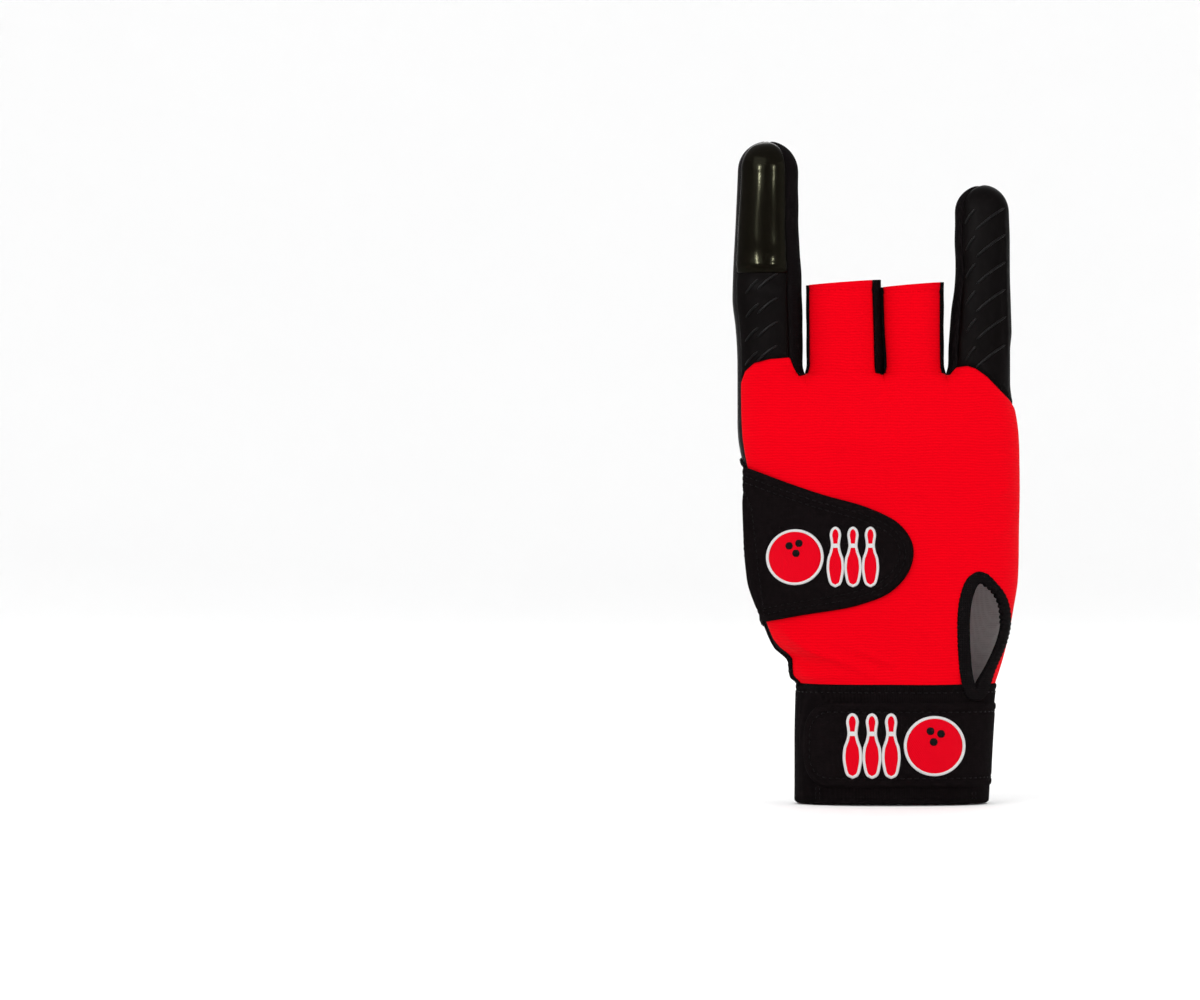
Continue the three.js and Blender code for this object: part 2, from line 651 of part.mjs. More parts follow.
const glove = new THREE.Group();
for (const piece of pieces) {
  glove.add(toMesh(piece));
}

export default glove;
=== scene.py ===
"""Looks of a right-hand bowling glove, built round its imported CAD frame.

Lengths inside the classes are millimetres in the glove's own frame: +Z runs up along the fingers, -Y points
out of the back of the hand and +X towards the little finger. They become metres when a mesh is written.
"""

import logging
from dataclasses import dataclass, field
from enum import Enum, IntEnum
from typing import Any, Callable, Optional, Sequence

import bpy
import numpy as np
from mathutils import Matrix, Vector

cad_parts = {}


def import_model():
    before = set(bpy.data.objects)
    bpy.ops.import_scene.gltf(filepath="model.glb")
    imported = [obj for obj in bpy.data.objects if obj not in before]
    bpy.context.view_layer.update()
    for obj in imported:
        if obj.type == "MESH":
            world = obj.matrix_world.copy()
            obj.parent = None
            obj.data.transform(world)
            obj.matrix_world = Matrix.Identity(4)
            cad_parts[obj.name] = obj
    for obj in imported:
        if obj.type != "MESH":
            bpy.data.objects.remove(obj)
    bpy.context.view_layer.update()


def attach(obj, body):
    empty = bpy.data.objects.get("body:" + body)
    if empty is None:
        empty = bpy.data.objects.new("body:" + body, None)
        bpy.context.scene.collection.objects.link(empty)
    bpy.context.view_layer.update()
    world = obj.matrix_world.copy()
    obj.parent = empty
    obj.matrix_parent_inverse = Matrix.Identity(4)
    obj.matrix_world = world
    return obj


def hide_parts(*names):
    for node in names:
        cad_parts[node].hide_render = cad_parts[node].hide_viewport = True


LOG = logging.getLogger("glove")
MM = 0.001
PER_METRE = 1000.0
QUARTER = np.pi / 2
TINY = 1e-9
BODY = "root"
Array = np.ndarray
Pair = tuple[float, float]
Triple = tuple[float, float, float]
Made = tuple[Array, Any]
# Sockets of a colour Mix node: its share, its two colours and its result.
MIX_SHARE, MIX_LOW, MIX_HIGH, MIX_RESULT = 0, 6, 7, 2


class Side(IntEnum):
    """The two sides of the hand, as the sign of y."""

    BACK = -1
    PALM = 1


class Finger(IntEnum):
    """The four finger strips, from the thumb side outwards."""

    INDEX = 0
    MIDDLE = 1
    RING = 2
    LITTLE = 3


def mix(low: Any, high: Any, share: Any) -> Any:
    """Returns the value at a share of the way from low to high."""
    return low + (high - low) * share


def smoothstep(value: Array, low: float, high: float) -> Array:
    """Returns 0 below low, 1 above high and 3s2 - 2s3 between them, with s the share of the way."""
    share = np.clip((value - low) / (high - low), 0.0, 1.0)
    return share * share * (3 - 2 * share)


def bell(distance: Array, width: float) -> Array:
    """Returns a bell curve, exp of minus the square of distance over width."""
    return np.exp(-((distance / width) ** 2))


def arc_length(line: Array) -> Array:
    """Returns the distance along a line at each of its points."""
    return np.concatenate([[0], np.cumsum(np.linalg.norm(np.diff(line, axis=0), axis=1))])


def unit(vectors: Array) -> Array:
    """Returns vectors at the length 1."""
    return vectors / np.linalg.norm(vectors, axis=-1, keepdims=True)


def places(run: Array, length: Array, line: Array) -> Array:
    """Returns the points at some distances along a line, from its own distances and points."""
    return np.stack([np.interp(run, length, column) for column in line.T], axis=-1)


class SmoothTable:
    """A table of values by height, joined by a cubic that never overshoots a row.

    Args:
        heights: the heights of the rows, rising.
        values: one row of values for each height.
    """

    def __init__(self, heights: Sequence[float], values: Sequence[Sequence[float]]) -> None:
        self.heights = np.asarray(heights, float)
        self.values = np.asarray(values, float)
        step = np.diff(self.heights)[:, None]
        rise = np.diff(self.values, axis=0) / step
        before, after = rise[:-1], rise[1:]
        weight_before, weight_after = 2 * step[1:] + step[:-1], step[1:] + 2 * step[:-1]
        same_way = before * after > 0
        safe_before = np.where(same_way, before, 1.0)
        safe_after = np.where(same_way, after, 1.0)
        mean = (weight_before + weight_after) / (weight_before / safe_before + weight_after / safe_after)
        inner = np.where(same_way, mean, 0.0)
        self.slopes = np.vstack([rise[:1], inner, rise[-1:]])

    def at(self, height: Array) -> tuple[Array, ...]:
        """Works out every column at some heights, by the cubic Hermite form between two rows.

        Args:
            height: heights of any shape; those outside the table take its ends.

        Returns:
            One array of the shape of height for each column.
        """
        height = np.clip(np.asarray(height, float), self.heights[0], self.heights[-1])
        row = np.clip(np.searchsorted(self.heights, height, side="right") - 1, 0, len(self.heights) - 2)
        span = self.heights[row + 1] - self.heights[row]
        share = ((height - self.heights[row]) / span)[..., None]
        low, high = self.values[row], self.values[row + 1]
        leave, arrive = self.slopes[row] * span[..., None], self.slopes[row + 1] * span[..., None]
        square, cube = share**2, share**3
        value = (2 * cube - 3 * square + 1) * low + (cube - 2 * square + share) * leave
        value = value + (3 * square - 2 * cube) * high + (cube - square) * arrive
        return tuple(np.moveaxis(value, -1, 0))


# Height as a share of the palm's, reach to the left and right as shares of the knuckles', depth of the back
# and of the palm as shares of the hand's, and the exponent of the section's superellipse.
PALM_SECTIONS = (
    (0.0, 0.615, 0.876, 1.2, 1.23, 2.2),
    (0.03, 0.665, 0.9, 1.19, 1.22, 2.2),
    (0.075, 0.675, 0.935, 1.16, 1.21, 2.2),
    (0.12, 0.765, 0.965, 1.14, 1.2, 2.25),
    (0.18, 0.822, 1.0, 1.11, 1.19, 2.3),
    (0.24, 0.865, 1.03, 1.09, 1.18, 2.35),
    (0.34, 0.935, 1.066, 1.06, 1.14, 2.4),
    (0.46, 0.958, 1.076, 1.03, 1.08, 2.5),
    (0.58, 0.962, 1.078, 1.0, 1.03, 2.6),
    (0.68, 0.958, 1.079, 0.99, 1.0, 2.6),
    (0.74, 0.978, 1.078, 0.98, 0.98, 2.6),
    (0.8, 0.995, 1.07, 0.97, 0.96, 2.6),
    (0.87, 1.0, 1.045, 0.95, 0.94, 2.6),
    (0.93, 1.0, 1.01, 0.92, 0.9, 2.6),
    (0.97, 1.0, 1.0, 0.88, 0.86, 2.5),
    (1.0, 1.0, 1.0, 0.85, 0.82, 2.5),
)
# Height as a share of the band's, then as above, in shares of the wrist's reaches and depths.
WRIST_SECTIONS = ((0.0, 1.0, 0.945, 1.0, 1.0, 2.2), (0.5, 1.0, 0.972, 0.98, 0.99, 2.2))
# Height as a share of the finger's length, half widths to the left and right as shares of its width, and
# depth as a share of the fingers'.
LONG_FINGER_SECTIONS = (
    (0.035, 0.5, 0.5, 1.0),
    (0.1, 0.505, 0.5, 0.99),
    (0.2, 0.53, 0.5, 0.98),
    (0.32, 0.575, 0.49, 1.0),
    (0.43, 0.565, 0.48, 0.97),
    (0.62, 0.53, 0.44, 0.9),
    (0.86, 0.49, 0.435, 0.8),
)
LITTLE_FINGER_SECTIONS = (
    (0.04, 0.5, 0.5, 0.95),
    (0.12, 0.49, 0.5, 0.93),
    (0.22, 0.475, 0.525, 0.92),
    (0.34, 0.44, 0.515, 0.9),
    (0.54, 0.375, 0.5, 0.86),
    (0.7, 0.385, 0.5, 0.82),
    (0.84, 0.38, 0.49, 0.76),
)
MIDDLE_SLEEVE_SECTIONS = ((0.09, 0.5, 0.51, 1.02), (0.5, 0.503, 0.495, 1.02), (1.0, 0.507, 0.475, 1.0))
RING_SLEEVE_SECTIONS = ((0.09, 0.51, 0.5, 1.02), (0.5, 0.545, 0.495, 1.02), (1.0, 0.568, 0.5, 1.0))
# Edge between the knit and a black finger piece: share of the finger's width from its thumb side, and
# height above the crotches as a share of the palm's.
INDEX_EDGE = ((-0.4, -0.042), (0.03, -0.038), (0.1, 0.006), (0.24, 0.032), (0.48, 0.045), (0.8, 0.051))
LITTLE_EDGE = (
    (0.14, 0.02), (0.28, 0.024), (0.42, 0.016), (0.62, -0.013), (0.8, -0.048), (1.0, -0.086),
    (1.1, -0.122), (1.5, -0.126),
)
# The teardrop opening from its tip, anticlockwise: shares of its width and height.
KEYHOLE_TABLE = (
    (0.14, 0.0), (0.34, 0.08), (0.62, 0.24), (0.9, 0.45), (1.0, 0.64), (0.9, 0.82), (0.62, 0.95),
    (0.3, 1.0), (0.1, 0.88), (0.0, 0.66), (0.02, 0.34),
)
# The thumb flap's upper edge from the thumb side, its nose, and its lower edge back again.
FLAP_OUTLINE = (
    (-58.0, 112.2), (-48.0, 108.2), (-36.2, 103.4), (-23.4, 98.9), (-10.9, 95.4), (-2.2, 91.8),
    (2.6, 88.3), (5.4, 84.0), (6.1, 79.6), (4.8, 74.6), (1.9, 70.4), (-2.2, 67.0), (-7.7, 64.6),
    (-15.7, 62.4), (-28.2, 60.4), (-40.3, 58.2), (-58.0, 55.2),
)
# The sewn seam beside the thumb side: heights, and its x at each.
FLAP_SEAM = ((58.2, 65.6, 75.2, 93.8, 104.0), (-40.6, -41.6, -43.2, -45.1, -48.3))
# A pin of the embroidery: shares of its height, and its half width there as a share of the belly's.
PIN_HEIGHTS = (0.0, 0.04, 0.14, 0.32, 0.45, 0.6, 0.7, 0.78, 0.88, 0.95, 0.99, 1.0)
PIN_HALVES = (0.0, 0.55, 0.82, 1.0, 0.92, 0.55, 0.42, 0.47, 0.58, 0.46, 0.2, 0.0)
# A tape's section, folded over the edge as a flat U: share of its width away from the opening, and height
# out of the surface.
TAPE_SECTION = (
    (1.0, 0.05), (0.94, 0.40), (0.72, 0.42), (0.56, 0.62), (0.22, 0.68), (-0.05, 0.45), (-0.13, -0.1),
    (-0.14, -0.75), (-0.08, -1.3), (0.1, -1.6), (0.5, -1.62), (0.95, -1.5), (1.0, -1.3), (0.5, -1.0),
    (0.5, -0.2),
)


@dataclass(frozen=True)
class FingerRow:
    """What one finger strip of the glove is: where its seams run, and whether its tip is closed.

    Args:
        width: width across the crotches.
        length: length above the crotches.
        closed: whether the glove covers the fingertip.
        sections: the rows of its table.
        left_seam: seam of the gusset on its thumb side, in radians from the middle of the back.
        right_seam: seam of the gusset on its outer side.
        tilt: how much higher an open sleeve's mouth is at its outer side than at its thumb side.
    """

    width: float
    length: float
    closed: bool
    sections: tuple[tuple[float, ...], ...]
    left_seam: float
    right_seam: float
    tilt: float = 0.0


@dataclass(frozen=True)
class HandForm:
    """The worn hand's outer surface, as functions of place. All in millimetres and radians."""

    band_height: float = 38.0
    palm_height: float = 99.6
    knuckle_blend: float = 24.0
    web_length: float = 6.0
    web_softness: float = 0.45
    gap: float = 1.2
    axis_to_crotch: float = 2.9
    wrist_reach: Pair = (31.0, 32.4)
    wrist_depth: Pair = (19.0, 22.0)
    hand_depth: Pair = (15.0, 17.5)
    finger_depth: float = 8.6
    curl: float = 5.0
    tip_power: float = 2.3
    tip_root: float = 1.9
    gusset_drop: float = 0.5
    gusset_fall: float = np.radians(21.0)
    thumb_seam: float = np.radians(-67.0)
    outer_seam: float = np.radians(79.0)
    edge_passes: int = 3
    angle_step: float = 0.004
    turn_step: float = 0.01
    height_step: float = 0.05
    fingers: tuple[FingerRow, ...] = (
        FingerRow(21.0, 74.9, True, LONG_FINGER_SECTIONS, np.radians(-67.0), np.radians(35.5)),
        FingerRow(24.0, 29.2, False, MIDDLE_SLEEVE_SECTIONS, np.radians(-72.4), np.radians(54.4), 1.8),
        FingerRow(19.0, 28.5, False, RING_SLEEVE_SECTIONS, np.radians(-76.5), np.radians(62.3), 1.7),
        FingerRow(20.0, 60.7, True, LITTLE_FINGER_SECTIONS, np.radians(-48.5), np.radians(90.0)),
    )
    lefts: tuple[float, ...] = field(init=False)
    palm_table: SmoothTable = field(init=False)
    finger_tables: tuple[SmoothTable, ...] = field(init=False)

    def __post_init__(self) -> None:
        """Lays out the strips from the thumb side and builds the smooth tables."""
        widths = [finger.width for finger in self.fingers]
        first = -self.axis_to_crotch - self.gap / 2 - widths[1] - self.gap - widths[0]
        lefts = first + np.concatenate([[0.0], np.cumsum(np.array(widths[:-1]) + self.gap)])
        object.__setattr__(self, "lefts", tuple(lefts))
        knuckles = np.array([-lefts[0], lefts[-1] + widths[-1]])
        rows = []
        for sections, foot, height, reach, depth in (
            (WRIST_SECTIONS, 0.0, self.band_height, self.wrist_reach, self.wrist_depth),
            (PALM_SECTIONS, self.band_height, self.palm_height, knuckles, self.hand_depth),
        ):
            for share, left, right, back, palm, square in sections:
                edges = (-reach[0] * left, reach[1] * right)
                rows.append((foot + height * share, *edges, depth[0] * back, depth[1] * palm, square))
        table = np.array(rows)
        object.__setattr__(self, "palm_table", SmoothTable(table[:, 0], table[:, 1:]))
        tables = []
        for strip, finger in enumerate(self.fingers):
            left, right = self.crotch_edges(strip)
            centre = lefts[strip] + finger.width / 2
            rows = [(self.crotch, left, right, self.finger_depth)]
            for share, to_left, to_right, depth in finger.sections:
                edges = (centre - finger.width * to_left, centre + finger.width * to_right)
                rows.append((self.crotch + finger.length * share, *edges, self.finger_depth * depth))
            table = np.array(rows)
            tables.append(SmoothTable(table[:, 0], table[:, 1:]))
        object.__setattr__(self, "finger_tables", tuple(tables))

    @property
    def crotch(self) -> float:
        """Height of the crotches between the fingers."""
        return self.band_height + self.palm_height

    def tip(self, strip: int) -> float:
        """Returns the height of a finger's top."""
        return self.crotch + self.fingers[strip].length

    def crotch_edges(self, strip: int) -> Pair:
        """Returns the x of a strip's two edges at the crotches."""
        half = self.gap / 2
        left = self.lefts[strip] - (half if strip else 0.0)
        right = self.lefts[strip] + self.fingers[strip].width + (half if strip < Finger.LITTLE else 0.0)
        return left, right

    def strip_edges(self, strip: int, left: Array, right: Array) -> tuple[Array, Array]:
        """Returns a strip's two edges at palm rows: the crotches' proportion spread between the outlines."""
        low, high = self.crotch_edges(Finger.INDEX)[0], self.crotch_edges(Finger.LITTLE)[1]
        shares = [(edge - low) / (high - low) for edge in self.crotch_edges(strip)]
        return mix(left, right, shares[0]), mix(left, right, shares[1])

    def posed(self, x: Array, y: Array, z: Array) -> Array:
        """Returns points with the finger's curl: y grows with the square of the height over the crotches."""
        above = np.maximum(0.0, z - self.crotch) / self.fingers[0].length
        return np.stack(np.broadcast_arrays(x, y + self.curl * above**2, z), axis=-1)

    def point(self, strip: int, turn: Array, z: Array, side: int = Side.BACK) -> Array:
        """Works out points of the glove's surface on one strip.

        Below the crotches x spreads over the strip as the sine of the turn and y is the section's
        superellipse, which gives way to a round finger over the knuckles; a quarter-round groove between
        the strips deepens to the crotches. Above them it is a closed ring, with a rounded dome on a closed
        finger.

        Args:
            strip: the finger strip.
            turn: angle from the middle of the strip, -90 to 90 degrees, in radians.
            z: heights.
            side: the back of the hand or its palm.

        Returns:
            Points, with their coordinates on the last axis.
        """
        turn, z = np.broadcast_arrays(np.asarray(turn, float), np.asarray(z, float))
        sine, cosine = np.sin(turn), np.cos(turn)
        left, right, back, palm, square = self.palm_table.at(np.minimum(z, self.crotch))
        low, high = self.strip_edges(strip, left, right)
        x = mix(low, high, 0.5 + sine / 2)
        flat = self.section_depth(x, left, right, back if side < 0 else palm, square)
        parting = smoothstep(z, self.crotch - self.knuckle_blend, self.crotch)
        web = np.clip(1 - (self.crotch - z) / self.web_length, 0, 1)
        groove = 1 - np.sqrt(1 - web**2)
        soft = self.web_softness * (1 - web)
        rounded = (np.sqrt(cosine**2 + soft**2) - soft) / (np.sqrt(1 + soft**2) - soft)
        dip = 1 - groove * (1 - rounded)
        outer = ((turn < 0) & (strip == Finger.INDEX)) | ((turn > 0) & (strip == Finger.LITTLE))
        round_y = self.finger_depth * np.where(outer, cosine, dip)
        y = mix(flat * np.where(outer, 1.0, dip), round_y, parting)
        above = z > self.crotch
        ring_x, ring_y = self.ring(strip, sine, cosine, z)
        return self.posed(np.where(above, ring_x, x), side * np.where(above, ring_y, y), z)

    def section_depth(self, x: Array, left: Array, right: Array, depth: Array, square: Array) -> Array:
        """Returns a superellipse's depth at x: the square-th root of 1 - share to the square-th power."""
        middle = (left + right) / 2
        share = np.clip(np.abs(x - middle) / ((right - left) / 2), 0, 1)
        return depth * (1 - share**square) ** (1 / square)

    def ring(self, strip: int, sine: Array, cosine: Array, z: Array) -> tuple[Array, Array]:
        """Returns x and depth of a finger's ring; a closed tip shrinks as a root of 1 - s to a power."""
        left, right, depth = self.finger_tables[strip].at(z)
        if self.fingers[strip].closed:
            foot = self.finger_tables[strip].heights[-1]
            share = np.clip((z - foot) / (self.tip(strip) - foot), 0, 1)
            size = (1 - share**self.tip_power) ** (1 / self.tip_root)
            centre = (left + right) / 2
            left, right, depth = mix(centre, left, size), mix(centre, right, size), depth * size
        return mix(left, right, 0.5 + sine / 2), depth * cosine

    def wrap(self, angle: Array, z: Array, offset: Any = 0.0) -> Array:
        """Works out points round the wrist and the lower palm, where the section is a plain superellipse.

        Args:
            angle: round the section, from the outer side at 0; the back lies at negative angles.
            z: heights below the knuckles.
            offset: distance out of the surface.

        Returns:
            Points, with their coordinates on the last axis.
        """
        base = self.wrap_base(angle, z)
        if not np.any(offset):
            return base
        return base + self.wrap_normal(angle, z) * np.asarray(offset, float)[..., None]

    def wrap_base(self, angle: Array, z: Array) -> Array:
        """Returns points on the section: sine and cosine each to the power of 2 over its exponent."""
        angle, z = np.broadcast_arrays(np.asarray(angle, float), np.asarray(z, float))
        left, right, back, palm, square = self.palm_table.at(z)
        sine, cosine = np.sin(angle), np.cos(angle)
        x = (left + right) / 2 + (right - left) / 2 * np.sign(cosine) * np.abs(cosine) ** (2 / square)
        y = np.where(sine < 0, back, palm) * np.sign(sine) * np.abs(sine) ** (2 / square)
        return np.stack([x, y, z], axis=-1)

    def even_angles(self, start: float, stop: float, z: float, count: int) -> Array:
        """Returns angles round the section at a height, at even steps of its arc length."""
        table = np.linspace(start, stop, 4000)
        length = arc_length(self.wrap_base(table, np.full_like(table, z)))
        return np.interp(np.linspace(0, length[-1], count), length, table)

    def wrap_normal(self, angle: Array, z: Array) -> Array:
        """Returns outward unit normals, as the cross product of small central differences."""
        step, rise = self.angle_step, self.height_step
        around = self.wrap_base(angle + step, z) - self.wrap_base(angle - step, z)
        up = self.wrap_base(angle, z + rise) - self.wrap_base(angle, z - rise)
        return unit(np.cross(around, up))

    def wrap_angle(self, x: Array, z: Array, side: int = Side.BACK) -> Array:
        """Returns the angle round the section of an x on the back or on the palm."""
        left, right, _, _, square = self.palm_table.at(z)
        share = np.clip((x - (left + right) / 2) / ((right - left) / 2), -1, 1)
        return side * np.arccos(np.sign(share) * np.abs(share) ** (square / 2))

    def normal(self, strip: int, turn: Array, z: Array, side: int = Side.BACK) -> Array:
        """Returns outward unit normals on a strip, as the cross product of small differences."""
        step, rise = self.turn_step, self.height_step
        low, high = np.clip(turn - step, -QUARTER, QUARTER), np.clip(turn + step, -QUARTER, QUARTER)
        across = self.point(strip, high, z, side) - self.point(strip, low, z, side)
        up = self.point(strip, turn, z + rise, side) - self.point(strip, turn, z - rise, side)
        return unit(np.cross(across, up) * -side)

    def knit_edge(self, strip: int, turn: Array, side: int = Side.BACK) -> Array:
        """Works out the height at which the back of the hand ends on a strip.

        On the index and little fingers it follows the edge tables; between a gusset's seam and the crotch
        it falls to the gusset's foot, as a smoothstep of the turn.

        Args:
            strip: the finger strip.
            turn: angles from the middle of the strip.
            side: the back of the hand or its palm.

        Returns:
            Heights, of the shape of turn.
        """
        turn = np.asarray(turn, float)
        finger = self.fingers[strip]
        height = np.full_like(turn, self.crotch)
        table = {Finger.INDEX: INDEX_EDGE, Finger.LITTLE: LITTLE_EDGE}.get(strip)
        if table and (side < 0 or strip == Finger.LITTLE):
            across, up = np.array(table).T
            held = np.clip(turn, finger.left_seam, finger.right_seam)
            for _ in range(self.edge_passes):
                x = self.point(strip, held, height, side)[..., 0]
                if side > 0:
                    x = 2 * self.point(strip, QUARTER, height)[..., 0] - x
                share = (x - self.lefts[strip]) / finger.width
                height = self.crotch + self.palm_height * np.interp(share, across, up)
            if side > 0:
                height = mix(self.crotch, height, smoothstep(turn, 0.0, self.outer_seam))
        foot = self.crotch - self.gusset_drop
        if strip != Finger.INDEX:
            full = min(-finger.left_seam + self.gusset_fall, QUARTER)
            height = mix(height, foot, smoothstep(-turn, -finger.left_seam, full))
        if strip != Finger.LITTLE:
            full = min(finger.right_seam + self.gusset_fall, QUARTER)
            height = mix(height, foot, smoothstep(turn, finger.right_seam, full))
        return height


@dataclass
class Shell:
    """A surface gathered from grids, welded where they meet.

    Args:
        points: grids of points, each of shape (rows, columns, 3).
        raises: how far each point is moved out of the surface, grid by grid.
        flips: whether a grid's faces are turned round.
        weld_steps: steps to the millimetre that points are rounded to before they are compared.
    """

    points: list[Array] = field(default_factory=list)
    raises: list[Array] = field(default_factory=list)
    flips: list[bool] = field(default_factory=list)
    weld_steps: int = 1000

    def add(self, points: Array, lift: Any = 0.0, flip: bool = False) -> "Shell":
        """Adds a grid of points, with how far each is raised, and returns the shell."""
        self.points.append(points)
        self.raises.append(np.broadcast_to(np.asarray(lift, float), points.shape[:2]))
        self.flips.append(flip)
        return self

    def welded(self) -> tuple[Array, Array, Array]:
        """Joins the grids where their points round to the same place.

        Returns:
            Points, raises, and faces of four corners.
        """
        corners, start = [], 0
        for grid, flip in zip(self.points, self.flips):
            rows, columns = grid.shape[:2]
            corners.append(start + grid_faces(rows, columns)[:, :: -1 if flip else 1])
            start += rows * columns
        points = np.concatenate([grid.reshape(-1, 3) for grid in self.points])
        lift = np.concatenate([grid.reshape(-1) for grid in self.raises])
        steps = np.round(points * self.weld_steps)
        _, first, inverse = np.unique(steps, axis=0, return_index=True, return_inverse=True)
        return points[first], lift[first], inverse.reshape(-1)[np.concatenate(corners)]

    def finished(self, keep: Optional[Callable[[Array], Array]] = None) -> Made:
        """Welds, cuts and raises the surface.

        Args:
            keep: given the faces' centres, says which stay.

        Returns:
            Points and faces, those that have shrunk to triangles as such, and none with two corners.
        """
        points, lift, faces = self.welded()
        repeated = faces == np.roll(faces, -1, axis=1)
        faces = faces[repeated.sum(axis=1) <= 1]
        if keep is not None:
            faces = faces[keep(points[faces].mean(axis=1))]
        points = points + vertex_normals(points, faces) * lift[:, None]
        used, inverse = np.unique(faces, return_inverse=True)
        faces = inverse.reshape(-1, 4)
        return points[used], clean_faces(faces)


def clean_faces(faces: Array) -> list[list[int]]:
    """Returns faces as lists, with a repeated corner dropped."""
    same = faces == np.roll(faces, -1, axis=1)
    whole = faces[~same.any(axis=1)].tolist()
    pinched = faces[same.any(axis=1)]
    if not len(pinched):
        return whole
    place = same[same.any(axis=1)].argmax(axis=1)
    order = (place[:, None] + np.arange(1, 4)) % 4
    return whole + np.take_along_axis(pinched, order, axis=1).tolist()


def vertex_normals(points: Array, faces: Array) -> Array:
    """Returns unit normals at the points: the sum of the normals of the faces that meet there."""
    across = points[faces[:, 2]] - points[faces[:, 0]]
    along = points[faces[:, 3]] - points[faces[:, 1]]
    face = np.cross(across, along)
    total = np.stack(
        [np.bincount(faces.ravel(), np.repeat(face[:, axis], 4), len(points)) for axis in range(3)], axis=-1
    )
    length = np.linalg.norm(total, axis=-1, keepdims=True)
    return total / np.where(length > 0, length, 1)


def grid_faces(rows: int, columns: int, closed: bool = False) -> Array:
    """Returns the faces of a grid of points, joined round its columns when it is closed."""
    index = np.arange(rows * columns).reshape(rows, columns)
    if closed:
        index = np.concatenate([index, index[:, :1]], axis=1)
    return np.stack([index[:-1, :-1], index[:-1, 1:], index[1:, 1:], index[1:, :-1]], axis=-1).reshape(-1, 4)


def rods(paths: Array, normals: Array, width: Any, height: Any, sides: int = 8) -> Made:
    """Builds many closed rods at once, an ellipse carried along each path and drawn in at both ends.

    The ellipse is width across the path and height along the surface's normal, and shrinks at the ends as
    the fourth root of 1 - s^4, with s from -1 to 1 along the path.

    Args:
        paths: centre lines of shape (rods, stations, 3).
        normals: the surface's normals, of the same shape.
        width: half width of a rod.
        height: half height of a rod.
        sides: points round a rod.

    Returns:
        Points and four-cornered faces.
    """
    least = 0.02
    count, stations = paths.shape[:2]
    tangent = np.gradient(paths, axis=1)
    across = np.cross(tangent, normals)
    across /= np.maximum(np.linalg.norm(across, axis=-1, keepdims=True), TINY)
    share = np.linspace(-1, 1, stations)
    size = np.maximum((1 - share**4) ** 0.25, least)[None, :, None, None]
    angle = np.arange(sides) * 2 * np.pi / sides
    ring = np.cos(angle)[:, None] * across[:, :, None, :] * width
    ring = ring + np.sin(angle)[:, None] * normals[:, :, None, :] * height
    points = paths[:, :, None, :] + ring * size
    faces = grid_faces(stations, sides, closed=True)[:, ::-1]
    start = (np.arange(count) * stations * sides)[:, None, None]
    return points.reshape(-1, 3), (faces[None] + start).reshape(-1, 4)


def joined(parts: Sequence[Made]) -> Made:
    """Joins several (points, faces) into one, each part's faces shifted by the points before it."""
    starts = np.cumsum([0] + [len(points) for points, _ in parts[:-1]])
    faces = [faces + start for (_, faces), start in zip(parts, starts)]
    return np.concatenate([points for points, _ in parts]), np.concatenate(faces)


def stitched(line: Array, normals: Array, pitch: float, length: float, radius: float) -> Made:
    """Sews a row of stitches along a line, each a rod that arches out of the cloth as half a sine.

    The first starts at a share of the pitch. The arch, the depth of a stitch's ends in the cloth and its
    half height are shares of the radius.

    Args:
        line: points of the line, of shape (n, 3).
        normals: the cloth's normals there.
        pitch: distance from stitch to stitch.
        length: a stitch's length.
        radius: the thread's radius.

    Returns:
        Points and four-cornered faces.
    """
    first, rise, sunk, flat, stations = 0.3, 1.1, 0.2, 0.8, 6
    run = arc_length(line)
    starts = np.arange(first * pitch, run[-1] - length, pitch)
    place = starts[:, None] + np.linspace(0, length, stations)
    out = unit(places(place, run, normals))
    arch = np.sin(np.linspace(0, np.pi, stations))[:, None] * radius * rise
    return rods(places(place, run, line) + out * (arch - sunk * radius), out, radius, radius * flat, 6)


def sewn(form: HandForm, angle: Array, z: Array, offset: Any, pitch: float, length: float,
         radius: float) -> Made:
    """Returns a row of stitches round the wrist or the lower palm, at an offset from the hand."""
    return stitched(form.wrap(angle, z, offset), form.wrap_normal(angle, z), pitch, length, radius)


